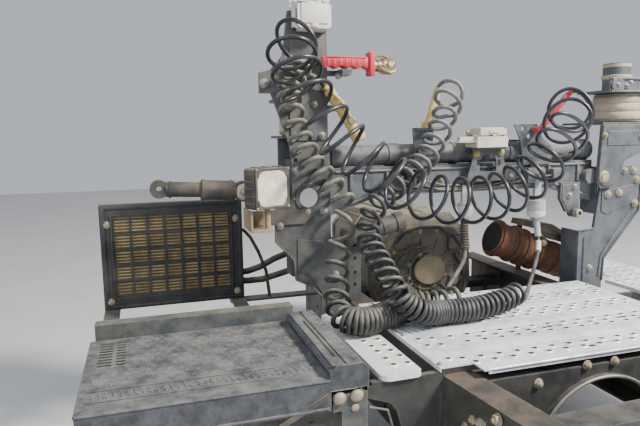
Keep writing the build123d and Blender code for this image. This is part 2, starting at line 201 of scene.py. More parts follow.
def surface(name, c1, c2, rough=(0.55, 0.8), metallic=0.0, dust=0.5, dust_col=DUST, side=0.25, wear=0.0,
            wear_col=srgb(150, 150, 150), rust=0.0, rust_col=srgb(120, 76, 48), scale=14.0, grain=260.0,
            depth=0.0006, streak=None, coat=0.0, rise=None):
    """Two-tone base, streaks, rust patches, worn edges, settled dust and an optional lightening towards the top, all
    procedural.
    """
    n = Nodes(name)
    big = n.noise(scale, 6.0, 0.62)
    col = n.mix(n.ramp(big, 0.36, 0.64), c1, c2)
    fine = n.noise(scale * 7.0, 4.0, 0.7)
    col = n.mix(n.ramp(fine, 0.52, 0.75, 0.0, 0.45), col, tuple(c * 0.55 for c in c1))
    if streak:
        s = n.noise(streak[0], 3.0, 0.6, streak[1])
        col = n.mix(n.ramp(s, 0.48, 0.72, 0.0, 0.5), col, tuple(min(1.0, c * 1.6 + 0.02) for c in c2))
    if rust:
        r = n.ramp(n.noise(scale * 2.3, 8.0, 0.7), 0.66 - 0.22 * rust, 0.72 - 0.16 * rust)
        col = n.mix(n.times(r, 0.9), col, rust_col)
    if wear:
        w = n.times(n.edges(), n.ramp(n.noise(scale * 4.0, 5.0, 0.7), 0.35, 0.6, 0.2, 1.0))
        col = n.mix(n.times(w, wear), col, wear_col)
    settled = n.ramp(n.noise(scale * 0.6 + 3.0, 7.0, 0.65), 0.3, 0.68)
    top = n.times(n.upness(-0.1, 0.85), settled)
    film = n.ramp(n.noise(scale * 1.7, 7.0, 0.7), 0.38, 0.75, 0.0, side)
    d = n.plus(n.times(top, dust), film)
    # lighter towards the top: the colour blends further toward dust_col as Z rises
    if rise:
        s = n.new("ShaderNodeSeparateXYZ")
        n.wire(n.co, s.inputs[0])
        high = n.ramp(s.outputs["Z"], rise[0], rise[1], 0.0, rise[2])
        d = n.plus(d, n.times(high, n.ramp(n.noise(scale * 2.6, 5.0, 0.7), 0.3, 0.62, 0.35, 1.0)))
    col = n.mix(d, col, dust_col)
    n.wire(col, n.bsdf.inputs["Base Color"])
    r0 = n.ramp(big, 0.3, 0.7, rough[0], rough[1])
    n.wire(n.plus(r0, n.times(d, 0.25)), n.bsdf.inputs["Roughness"])
    if metallic:
        n.wire(n.ramp(d, 0.1, 0.9, metallic, 0.0), n.bsdf.inputs["Metallic"])
    if coat:
        n.bsdf.inputs["Coat Weight"].default_value = coat
        n.bsdf.inputs["Coat Roughness"].default_value = 0.3
    g = n.noise(grain, 3.0, 0.6)
    h = n.plus(n.times(g, 0.5), n.times(n.noise(scale * 3.0, 6.0, 0.6), 0.5))
    n.bump(h, depth)
    return n.mat


M = {
    "frame": surface("m_frame", srgb(40, 43, 45), srgb(56, 58, 58), (0.45, 0.7), dust=0.4, side=0.14, wear=0.5,
                     dust_col=srgb(118, 112, 102), wear_col=srgb(130, 126, 116), rust=0.0),
    "rail": surface("m_rail", srgb(52, 54, 50), srgb(63, 64, 58), (0.42, 0.62), dust=0.75,
                    dust_col=srgb(112, 92, 82), side=0.12, wear=0.6, wear_col=srgb(140, 128, 112), rust=0.0),
    "tower": surface("m_tower", srgb(62, 67, 72), srgb(84, 88, 90), (0.5, 0.78), dust=0.5, side=0.3, wear=0.5,
                     dust_col=srgb(136, 126, 108), wear_col=srgb(150, 142, 128), rust=0.0),
    "tower_blue": surface("m_tower_blue", srgb(66, 71, 79), srgb(86, 91, 98), (0.45, 0.7), dust=0.5, side=0.2,
                          wear=0.5, dust_col=srgb(134, 132, 126), wear_col=srgb(140, 140, 138)),
    "beam": surface("m_beam", srgb(60, 66, 74), srgb(88, 93, 100), (0.42, 0.7), dust=0.65, side=0.28, wear=0.5,
                    dust_col=srgb(140, 136, 128), wear_col=srgb(140, 142, 142), rust=0.0),
    "bearer": surface("m_bearer", srgb(120, 122, 124), srgb(150, 150, 150), (0.4, 0.6), metallic=0.7, dust=0.4,
                      side=0.2),
    "box": surface("m_box", srgb(50, 51, 50), srgb(76, 77, 75), (0.6, 0.85), dust=0.6, side=0.42,
                   dust_col=srgb(140, 134, 122), wear=0.3, wear_col=srgb(150, 146, 138), grain=420.0,
                   streak=(6.0, (1.0, 1.0, 0.15))),
    "cover": surface("m_cover", srgb(46, 50, 58), srgb(70, 74, 82), (0.5, 0.78), dust=0.5,
                     dust_col=srgb(140, 138, 132), side=0.2, wear=0.6, wear_col=srgb(130, 132, 136), grain=520.0,
                     depth=0.0012, scale=24.0),
    "cooler": surface("m_cooler", srgb(40, 44, 46), srgb(58, 61, 62), (0.5, 0.75), dust=0.4, side=0.16, wear=0.4,
                      dust_col=srgb(120, 112, 98), wear_col=srgb(120, 112, 98)),
    "fins": surface("m_fins", srgb(160, 134, 88), srgb(214, 186, 132), (0.7, 0.9), dust=0.5, side=0.3,
                    dust_col=srgb(226, 202, 156), grain=700.0, depth=0.0015, scale=20.0),
    "bellows": surface("m_bellows", srgb(150, 140, 122), srgb(176, 166, 148), (0.7, 0.9), dust=0.6, side=0.4,
                       dust_col=srgb(190, 176, 152)),
    "arm": surface("m_arm", srgb(72, 78, 86), srgb(94, 99, 106), (0.5, 0.75), dust=0.55, side=0.2, grain=160.0,
                   dust_col=srgb(150, 148, 140), depth=0.0012, wear=0.4),
    "damper": surface("m_damper", srgb(58, 58, 58), srgb(84, 80, 74), (0.5, 0.75), dust=0.5, side=0.3,
                      dust_col=srgb(130, 118, 98)),
    "rod": surface("m_rod", srgb(120, 118, 112), srgb(150, 146, 138), (0.35, 0.55), metallic=0.8, dust=0.5, side=0.3),
    "rusty": surface("m_rusty", srgb(132, 116, 92), srgb(160, 142, 114), (0.7, 0.9), dust=0.5, side=0.4, rust=0.25,
                     rust_col=srgb(128, 92, 60)),
    "bolt": surface("m_bolt", srgb(150, 142, 122), srgb(180, 170, 146), (0.45, 0.7), metallic=0.4, dust=0.5,
                    side=0.35, rust=0.3, scale=40.0),
    "bolt_grey": surface("m_bolt_grey", srgb(140, 142, 140), srgb(170, 168, 160), (0.4, 0.6), metallic=0.6,
                         dust=0.5, side=0.3, scale=40.0),
    "lamp_body": surface("m_lamp_body", srgb(52, 52, 54), srgb(74, 71, 68), (0.5, 0.75), dust=0.5, side=0.16,
                         wear=0.4, wear_col=srgb(170, 158, 138)),
    "socket_white": surface("m_socket_white", srgb(208, 206, 200), srgb(222, 220, 214), (0.35, 0.55), dust=0.35,
                            side=0.15, wear=0.3, wear_col=srgb(235, 235, 230)),
    "socket_beige": surface("m_socket_beige", srgb(186, 180, 164), srgb(208, 202, 188), (0.5, 0.7), dust=0.6,
                            side=0.35, dust_col=srgb(214, 202, 178), wear=0.4, wear_col=srgb(225, 220, 208)),
    "red": surface("m_red", srgb(190, 30, 44), srgb(206, 50, 64), (0.45, 0.65), dust=0.45,
                   dust_col=srgb(168, 126, 134), side=0.3, wear=0.4, wear_col=srgb(225, 130, 140)),
    "yellow": surface("m_yellow", srgb(196, 168, 96), srgb(212, 186, 120), (0.5, 0.7), dust=0.6,
                      dust_col=srgb(190, 170, 128), side=0.4),
    "brass": surface("m_brass", srgb(150, 134, 104), srgb(178, 162, 130), (0.3, 0.5), metallic=0.85, dust=0.3,
                     side=0.25, dust_col=srgb(180, 168, 146)),
    "black": surface("m_black", srgb(38, 38, 40), srgb(60, 60, 62), (0.5, 0.7), dust=0.5, side=0.25),
    # near-black, for the insides of holes, slots and pipe mouths: painted shade
    "dark": surface("m_dark", srgb(18, 18, 18), srgb(30, 29, 28), (0.8, 0.95), dust=0.1, side=0.05),
    "pale": surface("m_pale", srgb(196, 198, 198), srgb(216, 216, 212), (0.35, 0.55), dust=0.4, side=0.2),
    "grey_plastic": surface("m_grey_plastic", srgb(148, 154, 160), srgb(176, 180, 184), (0.4, 0.6), dust=0.5,
                            side=0.25),
    "gearbox": surface("m_gearbox", srgb(86, 88, 88), srgb(116, 114, 106), (0.55, 0.8), dust=0.6,
                       dust_col=srgb(158, 142, 110), side=0.45, grain=90.0, depth=0.003, scale=20.0),
    "gearbox_cover": surface("m_gearbox_cover", srgb(140, 128, 108), srgb(158, 146, 124), (0.55, 0.75), dust=0.5,
                             side=0.4, scale=20.0),
    "exhaust": surface("m_exhaust", srgb(92, 64, 50), srgb(122, 84, 62), (0.75, 0.92), dust=0.35,
                       dust_col=srgb(136, 104, 80), side=0.25, rust=0.5, rust_col=srgb(76, 50, 38), grain=120.0,
                       depth=0.0015, scale=24.0),
    "shield": surface("m_shield", srgb(70, 66, 48), srgb(96, 90, 66), (0.5, 0.7), metallic=0.3, dust=0.4, side=0.3,
                      wear=0.5),
    # dust_col here is a bluish grey laid on the up-facing tops: partly dust, partly a painted sheen
    "hose_red": surface("m_hose_red", srgb(20, 22, 27), srgb(34, 37, 44), (0.26, 0.42), dust=0.22,
                        dust_col=srgb(110, 114, 120), side=0.05, scale=20.0, depth=0.0003, coat=0.35),
    "hose_yellow": surface("m_hose_yellow", srgb(34, 36, 35), srgb(54, 54, 51), (0.5, 0.7), dust=0.42,
                           dust_col=srgb(160, 157, 144), side=0.16, scale=22.0, rise=(0.22, 0.5, 0.42)),
    "hose_cable": surface("m_hose_cable", srgb(26, 28, 30), srgb(42, 44, 46), (0.4, 0.6), dust=0.36,
                          dust_col=srgb(150, 152, 150), side=0.08, scale=22.0, rise=(0.36, 0.76, 0.6)),
}


def alu(name, bright, dark, dustiness):
    """Bright sheet: fine scratches, dull blotches, grey dirt in the low places."""
    n = Nodes(name)
    blot = n.noise(9.0, 7.0, 0.65)
    col = n.mix(n.ramp(blot, 0.42, 0.62), bright, dark)
    scratch = n.noise(30.0, 2.0, 0.5, (1.0, 14.0, 1.0))
    col = n.mix(n.ramp(scratch, 0.55, 0.7, 0.0, 0.35), col, tuple(c * 0.7 for c in dark))
    dirt = n.ramp(n.noise(26.0, 8.0, 0.75), 0.5, 0.72, 0.0, dustiness)
    col = n.mix(dirt, col, srgb(150, 144, 136))
    n.wire(col, n.bsdf.inputs["Base Color"])
    n.wire(n.ramp(blot, 0.35, 0.65, 0.32, 0.55), n.bsdf.inputs["Roughness"])
    n.wire(n.ramp(dirt, 0.0, 0.8, 0.3, 0.05), n.bsdf.inputs["Metallic"])
    n.bump(n.plus(n.times(n.noise(400.0, 2.0, 0.5, (1.0, 6.0, 1.0)), 0.4), n.times(n.noise(30.0, 6.0, 0.6), 0.6)),
           0.0006)
    return n.mat


M["deck"] = alu("m_deck", srgb(246, 249, 255), srgb(204, 209, 220), 0.7)
M["small_deck"] = alu("m_small_deck", srgb(250, 250, 249), srgb(232, 232, 230), 0.4)


def two_ends(mat, x0, x1, colour):
    """Tints one end of a part, blending along X in metres."""
    t = mat.node_tree
    bsdf = t.nodes["Principled BSDF"]
    co = t.nodes.new("ShaderNodeTexCoord")
    sep = t.nodes.new("ShaderNodeSeparateXYZ")
    t.links.new(co.outputs["Object"], sep.inputs[0])
    m = t.nodes.new("ShaderNodeMapRange")
    m.inputs["From Min"].default_value = x0
    m.inputs["From Max"].default_value = x1
    t.links.new(sep.outputs["X"], m.inputs["Value"])
    mix = t.nodes.new("ShaderNodeMix")
    mix.data_type = "RGBA"
    mix.inputs[7].default_value = (*colour, 1.0)
    half = t.nodes.new("ShaderNodeMath")
    half.operation = "MULTIPLY"
    half.inputs[1].default_value = 0.8
    t.links.new(m.outputs["Result"], half.inputs[0])
    src = bsdf.inputs["Base Color"].links[0].from_socket
    t.links.new(half.outputs[0], mix.inputs[0])
    t.links.new(src, mix.inputs[6])
    t.links.new(mix.outputs[2], bsdf.inputs["Base Color"])
    return mat


two_ends(M["rusty"], -0.690, -0.684, srgb(76, 78, 80))


def lens_material():
    n = Nodes("m_lens")
    rib = n.new("ShaderNodeTexWave", wave_type="BANDS", bands_direction="X")
    rib.inputs["Scale"].default_value = 60.0
    rib.inputs["Distortion"].default_value = 0.4
    n.wire(n.co, rib.inputs["Vector"])
    blot = n.noise(26.0, 6.0, 0.7)
    col = n.mix(n.ramp(blot, 0.4, 0.65), srgb(238, 232, 212), srgb(214, 206, 184))
    dirt = n.ramp(n.noise(60.0, 8.0, 0.75), 0.55, 0.75, 0.0, 0.6)
    col = n.mix(dirt, col, srgb(170, 160, 138))
    n.wire(col, n.bsdf.inputs["Base Color"])
    n.wire(n.ramp(blot, 0.35, 0.7, 0.12, 0.35), n.bsdf.inputs["Roughness"])
    n.bsdf.inputs["Coat Weight"].default_value = 0.6
    n.bump(rib.outputs["Fac"], 0.0012, 0.6)
    return n.mat


M["lens"] = lens_material()
M["cover_pad"] = surface("m_cover_pad", srgb(66, 69, 74), srgb(92, 94, 96), (0.55, 0.8), dust=0.55,
                         dust_col=srgb(150, 146, 138), side=0.25, scale=24.0)
M["yellow_mark"] = surface("m_yellow_mark", srgb(150, 138, 70), srgb(176, 162, 96), (0.5, 0.7), dust=0.4, side=0.4,
                           scale=40.0)
M["beige"] = surface("m_beige", srgb(168, 156, 128), srgb(186, 174, 146), (0.5, 0.7), dust=0.4,
                     dust_col=srgb(186, 174, 150), side=0.3)
# near-white, for the painted reflection on the lamp lens
M["lens_bright"] = surface("m_lens_bright", srgb(240, 238, 230), srgb(226, 224, 214), (0.15, 0.3), dust=0.1, side=0.1,
                           scale=60.0)

DRESS = {
    "frame_rail_left": "rail", "frame_rail_right": "rail", "crossmembers": "frame", "deck_plate": "deck",
    "deck_bearers": "bearer", "step_plate_left": "small_deck", "step_plate_right": "deck",
    "step_brackets": "frame", "battery_box": "box", "battery_bracket": "tower", "battery_cover": "cover",
    "cooler_bracket": "tower", "cooler_frame": "cooler", "cooler_grille": "cooler", "cooler_core": "fins",
    "tower_left": "tower", "tower_right": "tower_blue", "bridge_beam": "beam", "bridge_tube": "beam",
    "lock_cylinder": "damper", "hose_post": "tower", "spring_seats": "tower_blue", "cab_springs": "bellows",
    "upper_arms": "arm", "lateral_damper": "damper", "lamp_bracket": "rusty", "lamp_housing": "lamp_body",
    "lamp_lens": "lens", "socket_left": "socket_white", "socket_left_lid": "socket_white",
    "socket_mid": "socket_beige", "socket_mid_lid": "socket_beige", "coupling_brackets": "beam",
    "red_coupling": "red", "yellow_coupling": "yellow", "red_sleeve": "red", "yellow_sleeve": "yellow",
    "port_fittings": "grey_plastic", "coil_red": "hose_red", "coil_yellow": "hose_yellow",
    "coil_cable": "hose_cable", "tail_cable": "hose_cable", "tail_yellow": "hose_yellow", "gearbox": "gearbox",
    "gearbox_mount": "frame", "exhaust_pipe": "exhaust", "heat_shield": "shield",
}
for node, obj in NODES.items():
    if not obj.data.materials:
        obj.data.materials.append(M[DRESS[node]])
    for i in range(len(obj.data.materials)):
        obj.data.materials[i] = M[DRESS[node]]


# ------------------------------------------------------------ mesh helpers
class Part:
    """One visual piece, built in mm in the working frame."""

    def __init__(self, name, body, look, slot=None):
        self.bm = bmesh.new()
        self.name, self.body, self.look, self.slot = name, body, look, slot

    def _place(self, verts, turn, about):
        if turn:
            bmesh.ops.rotate(self.bm, verts=verts, cent=Vector(about), matrix=turn)

    def box(self, x0, x1, y0, y1, z0, z1, bev=1.5, seg=2, turn=None, about=(0, 0, 0)):
        m = Matrix.Translation(((x0 + x1) / 2, (y0 + y1) / 2, (z0 + z1) / 2)) @ Matrix.Diagonal(
            (x1 - x0, y1 - y0, z1 - z0, 1.0))
        vs = bmesh.ops.create_cube(self.bm, size=1.0, matrix=m)["verts"]
        es = list({e for v in vs for e in v.link_edges})
        bev = min(bev, 0.45 * min(x1 - x0, y1 - y0, z1 - z0))
        got = bmesh.ops.bevel(self.bm, geom=es, offset=bev, offset_type="OFFSET", segments=seg, profile=0.5,
                              affect="EDGES", clamp_overlap=True)
        new = list({v for f in got["faces"] for v in f.verts} | {v for v in vs if v.is_valid})
        self._place(new, turn, about)
        return new

    def lathe(self, profile, origin, axis, seg=24, spin=0.0):
        """profile is (height along the axis, radius), from one end to the other; both ends are closed."""
        axis = Vector(axis).normalized()
        u = axis.orthogonal().normalized()
        v = axis.cross(u)
        o = Vector(origin)
        rings = []
        for h, r in profile:
            if r < 1e-6:
                rings.append([self.bm.verts.new(o + axis * h)])
            else:
                rings.append([self.bm.verts.new(o + axis * h + (u * math.cos(spin + 2 * math.pi * i / seg) + v
                              * math.sin(spin + 2 * math.pi * i / seg)) * r) for i in range(seg)])
        for a, b in zip(rings, rings[1:]):
            for i in range(seg):
                j = (i + 1) % seg
                if len(a) == 1 and len(b) == 1:
                    continue
                if len(a) == 1:
                    self.bm.faces.new((a[0], b[j], b[i]))
                elif len(b) == 1:
                    self.bm.faces.new((a[i], a[j], b[0]))
                else:
                    self.bm.faces.new((a[i], a[j], b[j], b[i]))
        if len(rings[0]) > 1:
            self.bm.faces.new(rings[0][::-1])
        if len(rings[-1]) > 1:
            self.bm.faces.new(rings[-1])
        return [v for r in rings for v in r]

    def ring(self, profile, origin, axis, seg=24):
        """Like lathe, but the profile is a closed loop round a hole."""
        axis = Vector(axis).normalized()
        u = axis.orthogonal().normalized()
        v = axis.cross(u)
        o = Vector(origin)
        rings = [[self.bm.verts.new(o + axis * h + (u * math.cos(2 * math.pi * i / seg) + v
                  * math.sin(2 * math.pi * i / seg)) * r) for i in range(seg)] for h, r in profile]
        for a, b in zip(rings, rings[1:] + rings[:1]):
            for i in range(seg):
                j = (i + 1) % seg
                self.bm.faces.new((a[i], a[j], b[j], b[i]))

    def rod(self, a, b, r, seg=16, bev=1.0):
        a, b = Vector(a), Vector(b)
        n = (b - a).length
        bev = min(bev, r * 0.4, n * 0.3)
        return self.lathe([(0, r - bev), (bev * 0.3, r - bev * 0.3), (bev, r), (n - bev, r),
                           (n - bev * 0.3, r - bev * 0.3), (n, r - bev)], a, b - a, seg)

    def bolt(self, p, axis, s=7.0, h=6.0, washer=True, stud=0.0):
        """A hexagon head or nut on a washer; s is its half width over the flats."""
        axis = Vector(axis).normalized()
        p = Vector(p)
        if washer:
            self.lathe([(-0.5, s * 1.5), (1.2, s * 1.5), (1.8, s * 1.4)], p, axis, 20)
            p = p + axis * 1.6
        r = s / math.cos(math.pi / 6)
        self.lathe([(-0.5, r), (h - 1.2, r), (h, s * 0.86)], p, axis, 6, random.uniform(0, 1))
        if stud:
            self.lathe([(h - 1, s * 0.55), (h + stud - 1, s * 0.55), (h + stud, s * 0.4)], p, axis, 12)

    def sweep(self, line, radii, seg=12, caps=True):
        """A tube along points, its radius given point by point."""
        line = [Vector(p) for p in line]
        n = len(line)
        tan = [(line[min(i + 1, n - 1)] - line[max(i - 1, 0)]).normalized() for i in range(n)]
        u = tan[0].orthogonal().normalized()
        rings = []
        for i in range(n):
            u = (u - tan[i] * u.dot(tan[i])).normalized()
            w = tan[i].cross(u)
            rings.append([self.bm.verts.new(line[i] + (u * math.cos(2 * math.pi * k / seg) + w
                          * math.sin(2 * math.pi * k / seg)) * radii[i]) for k in range(seg)])
        for a, b in zip(rings, rings[1:]):
            for i in range(seg):
                j = (i + 1) % seg
                self.bm.faces.new((a[i], a[j], b[j], b[i]))
        if caps:
            self.bm.faces.new(rings[0][::-1])
            self.bm.faces.new(rings[-1])

    def plate(self, pts, origin, u, v, thick, bev=1.0):
        """A flat outline in the u, v plane through origin, thick along u x v, with broken edges."""
        u, v = Vector(u).normalized(), Vector(v).normalized()
        n = u.cross(v)
        o = Vector(origin)
        low = [self.bm.verts.new(o + u * a + v * b) for a, b in pts]
        f = self.bm.faces.new(low)
        got = bmesh.ops.extrude_face_region(self.bm, geom=[f])
        top = [g for g in got["geom"] if isinstance(g, bmesh.types.BMVert)]
        bmesh.ops.translate(self.bm, verts=top, vec=n * thick)
        es = list({e for w in top + low for e in w.link_edges})
        bev = min(bev, thick * 0.45)
        bmesh.ops.bevel(self.bm, geom=es, offset=bev, offset_type="OFFSET", segments=1, profile=0.5,
                        affect="EDGES", clamp_overlap=True)

    def done(self, angle=32.0):
        bm = self.bm
        bmesh.ops.recalc_face_normals(bm, faces=bm.faces)
        for v in bm.verts:
            v.co = Vector((v.co.x * 0.001, v.co.y * 0.001 + DY, v.co.z * 0.001 + DZ))
        mesh = bpy.data.meshes.new(self.name)
        bm.to_mesh(mesh)
        bm.free()
        for p in mesh.polygons:
            p.use_smooth = True
        mesh.set_sharp_from_angle(angle=math.radians(angle))
        mesh.materials.append(M[self.look])
        obj = link(bpy.data.objects.new(self.name, mesh))
        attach(obj, self.body)
        return obj


# ------------------------------------------------------------------- cords
def nurbs(name, pts, radius, res=12):
    data = bpy.data.curves.new(name, "CURVE")
    data.dimensions = "3D"
    s = data.splines.new("NURBS")
    s.points.add(len(pts) - 1)
    for p, q in zip(s.points, pts):
        p.co = (q[0], q[1], q[2], 1.0)
    s.order_u = 3
    s.use_endpoint_u = True
    s.resolution_u = res
    data.resolution_u = res
    data.bevel_depth = radius
    data.bevel_resolution = 3
    data.use_fill_caps = True
    return data


def route_line(pts, res=40):
    """Points of the route's own spline, read from a curve with no bevel."""
    obj = bpy.data.objects.new("route_probe", nurbs("route_probe", pts, 0.0, res))
    link(obj)
    bpy.context.view_layer.update()
    mesh = bpy.data.meshes.new_from_object(obj)
    line = [v.co.copy() for v in mesh.vertices]
    bpy.data.objects.remove(obj)
    bpy.data.meshes.remove(mesh)
    return line


def table(rows, t):
    if t <= rows[0][0]:
        return rows[0][1]
    for (a, x), (b, y) in zip(rows, rows[1:]):
        if t <= b:
            return x + (y - x) * (t - a) / (b - a)
    return rows[-1][1]


def coil(route, turns, rad, lean, phase=0.0, hand=-1, n=16):
    """Helix points round a route: turns, radius and lean against the route's parameter."""
    line = route_line(route)
    top = float(len(route) - 2)
    T = [top * i / (len(line) - 1) for i in range(len(line))]
    tan = [(line[min(i + 1, len(line) - 1)] - line[max(i - 1, 0)]).normalized() for i in range(len(line))]
    u = tan[0].cross(Vector((0, 0, 1))).normalized()
    us = []
    for d in tan:
        u = (u - d * u.dot(d)).normalized()
        us.append(u)
    cum = [table(turns, t) for t in T]
    total = cum[-1]
    count = int(total * n)
    out = []
    j = 0
    for i in range(count + 1):
        k = total * i / count
        while j < len(T) - 2 and cum[j + 1] < k:
            j += 1
        w = min(1.0, max(0.0, (k - cum[j]) / (cum[j + 1] - cum[j])))
        c = line[j].lerp(line[j + 1], w)
        d = tan[j].lerp(tan[j + 1], w).normalized()
        uu = us[j].lerp(us[j + 1], w).normalized()
        t = T[j] + w * (T[j + 1] - T[j])
        ang = 2 * math.pi * k + phase
        off = (uu * math.cos(ang) + d.cross(uu) * (hand * math.sin(ang))) * table(rad, t)
        out.append(c + off + d * (table(lean, t) * off.y))
    return out


RED = [(-0.6, -0.066, 0.799), (-0.632, -0.098, 0.765), (-0.643, -0.125, 0.728), (-0.631, -0.14, 0.682),
       (-0.607, -0.148, 0.625), (-0.569, -0.156, 0.568), (-0.524, -0.16, 0.513), (-0.469, -0.164, 0.466),
       (-0.41, -0.168, 0.422), (-0.344, -0.168, 0.375), (-0.269, -0.166, 0.344), (-0.189, -0.16, 0.328),
       (-0.109, -0.154, 0.325), (-0.04, -0.146, 0.33), (0.019, -0.145, 0.347), (0.074, -0.146, 0.375),
       (0.125, -0.148, 0.416), (0.165, -0.15, 0.466), (0.208, -0.142, 0.526), (0.255, -0.112, 0.568),
       (0.288, -0.078, 0.579)]
YEL = [(-0.605, -0.029, 0.698), (-0.618, -0.029, 0.676), (-0.624, -0.029, 0.651), (-0.624, -0.029, 0.628),
       (-0.619, -0.029, 0.592), (-0.611, -0.029, 0.553), (-0.596, -0.029, 0.511), (-0.574, -0.029, 0.468),
       (-0.547, -0.029, 0.424), (-0.505, -0.029, 0.379), (-0.465, -0.029, 0.333), (-0.457, -0.03, 0.282),
       (-0.476, -0.038, 0.234), (-0.494, -0.058, 0.185), (-0.507, -0.084, 0.135), (-0.522, -0.125, 0.091),
       (-0.536, -0.17, 0.062), (-0.548, -0.222, 0.045), (-0.533, -0.257, 0.041), (-0.5, -0.274, 0.04),
       (-0.446, -0.254, 0.04), (-0.392, -0.22, 0.04), (-0.341, -0.19, 0.04), (-0.301, -0.186, 0.04),
       (-0.263, -0.192, 0.04), (-0.221, -0.191, 0.04), (-0.176, -0.176, 0.042)]
CAB = [(-0.113, -0.02, 0.668), (-0.12, -0.02, 0.622), (-0.13, -0.02, 0.582), (-0.143, -0.02, 0.54),
       (-0.171, -0.022, 0.495), (-0.191, -0.022, 0.455), (-0.218, -0.022, 0.422), (-0.253, -0.024, 0.396),
       (-0.295, -0.03, 0.368), (-0.34, -0.042, 0.338), (-0.383, -0.06, 0.306), (-0.414, -0.086, 0.27),
       (-0.425, -0.12, 0.229), (-0.425, -0.16, 0.195), (-0.422, -0.2, 0.171), (-0.421, -0.238, 0.149),
       (-0.418, -0.268, 0.126), (-0.409, -0.288, 0.101), (-0.387, -0.296, 0.077), (-0.338, -0.29, 0.052),
       (-0.283, -0.262, 0.038), (-0.235, -0.266, 0.038), (-0.185, -0.267, 0.038), (-0.131, -0.257, 0.038),
       (-0.066, -0.234, 0.038), (-0.003, -0.203, 0.038), (0.042, -0.179, 0.044)]
TAIL_YEL = [(-0.182, -0.135, 0.059), (-0.124, -0.085, 0.084), (-0.075, -0.04, 0.104), (-0.039, -0.005, 0.126),
            (-0.03, 0.024, 0.19), (-0.026, 0.03, 0.222), (-0.026, 0.03, 0.252)]
TAIL_CAB = [(0.088, -0.15, 0.024), (0.129, -0.112, 0.047), (0.182, -0.062, 0.081), (0.227, -0.02, 0.113),
            (0.25, 0.008, 0.147), (0.252, 0.028, 0.22), (0.252, 0.03, 0.25)]
RED_START = [(-0.6, -0.015, 0.728), (-0.6085, -0.015, 0.729), (-0.624, -0.018, 0.745), (-0.642, -0.024, 0.76),
             (-0.654, -0.034, 0.781), (-0.662, -0.05, 0.802), (-0.659, -0.072, 0.817), (-0.647, -0.096, 0.823),
             (-0.631, -0.118, 0.82), (-0.613, -0.135, 0.808), (-0.595, -0.143, 0.789), (-0.581, -0.142, 0.769),
             (-0.573, -0.13, 0.748)]
RED_END = [(0.239, -0.165, 0.459), (0.209, -0.188, 0.486), (0.17, -0.203, 0.508), (0.133, -0.208, 0.523),
           (0.103, -0.203, 0.53), (0.086, -0.19, 0.523), (0.092, -0.165, 0.504), (0.124, -0.135, 0.479),
           (0.17, -0.112, 0.459), (0.22, -0.1, 0.447), (0.266, -0.098, 0.447), (0.296, -0.112, 0.464),
           (0.306, -0.13, 0.49), (0.29, -0.152, 0.516), (0.256, -0.17, 0.541), (0.216, -0.18, 0.56),
           (0.181, -0.182, 0.573), (0.154, -0.175, 0.575), (0.145, -0.16, 0.564), (0.164, -0.14, 0.549),
           (0.1788, -0.1476, 0.5324), (0.218, -0.1412, 0.5215), (0.2573, -0.1417, 0.5181), (0.2874, -0.1479, 0.53),
           (0.3035, -0.1507, 0.5529), (0.3022, -0.1453, 0.5822), (0.2893, -0.1326, 0.6057),
           (0.2712, -0.1176, 0.6187), (0.2512, -0.1007, 0.621), (0.2316, -0.0837, 0.611),
           (0.2154, -0.0693, 0.5929), (0.2046, -0.0579, 0.5681), (0.2024, -0.0524, 0.5397),
           (0.2106, -0.0557, 0.511), (0.2289, -0.0678, 0.4901), (0.2539, -0.0849, 0.4825),
           (0.2813, -0.1046, 0.4912), (0.3034, -0.1202, 0.513), (0.3183, -0.13, 0.5424), (0.3246, -0.1326, 0.5749),
           (0.3195, -0.1268, 0.6077), (0.3063, -0.114, 0.6346), (0.2886, -0.0981, 0.6494), (0.27, -0.0812, 0.6551),
           (0.2519, -0.0641, 0.6467), (0.2374, -0.0498, 0.627), (0.2299, -0.0398, 0.6005),
           (0.2321, -0.0367, 0.5719), (0.2434, -0.0417, 0.5508), (0.261, -0.0522, 0.5345),
           (0.2833, -0.0682, 0.5284), (0.306, -0.085, 0.5306), (0.3253, -0.098, 0.5461), (0.3369, -0.1035, 0.5681),
           (0.3415, -0.1004, 0.5934), (0.3382, -0.088, 0.6192), (0.3297, -0.071, 0.6398),
           (0.3213, -0.0537, 0.6504), (0.3138, -0.0394, 0.6475), (0.3085, -0.03, 0.6352)]
YEL_START = [(-0.506, -0.015, 0.652), (-0.511, -0.015, 0.6595), (-0.531, -0.015, 0.677), (-0.555, -0.011, 0.69),
             (-0.58, -0.006, 0.697), (-0.605, -0.008, 0.697), (-0.625, -0.018, 0.702), (-0.634, -0.034, 0.711),
             (-0.626, -0.046, 0.721), (-0.608, -0.052, 0.725), (-0.587, -0.052, 0.721), (-0.572, -0.047, 0.709),
             (-0.568, -0.04, 0.695), (-0.576, -0.022, 0.683), (-0.594, -0.006, 0.679), (-0.616, 0.002, 0.679),
             (-0.637, -0.006, 0.682), (-0.649, -0.022, 0.691), (-0.648, -0.036, 0.699), (-0.636, -0.047, 0.705),
             (-0.618, -0.053, 0.703), (-0.601, -0.054, 0.693), (-0.586, -0.046, 0.681), (-0.58, -0.032, 0.669),
             (-0.584, -0.014, 0.659), (-0.599, -0.002, 0.654), (-0.62, 0.001, 0.654), (-0.639, -0.005, 0.658)]
CAB_START = [(-0.1282, 0.042, 0.6395), (-0.1276, 0.042, 0.6475), (-0.128, 0.04, 0.655), (-0.126, 0.03, 0.669),
             (-0.121, 0.012, 0.679), (-0.114, -0.01, 0.681), (-0.105, -0.03, 0.677), (-0.095, -0.044, 0.665),
             (-0.089, -0.05, 0.646), (-0.086, -0.042, 0.627), (-0.088, -0.022, 0.611), (-0.102, 0, 0.603),
             (-0.123, 0.012, 0.606), (-0.146, 0.006, 0.617), (-0.162, -0.012, 0.633), (-0.166, -0.034, 0.645),
             (-0.155, -0.048, 0.649), (-0.137, -0.055, 0.643), (-0.116, -0.055, 0.631), (-0.096, -0.048, 0.616),
             (-0.085, -0.036, 0.598), (-0.084, -0.02, 0.583), (-0.092, -0.004, 0.573)]
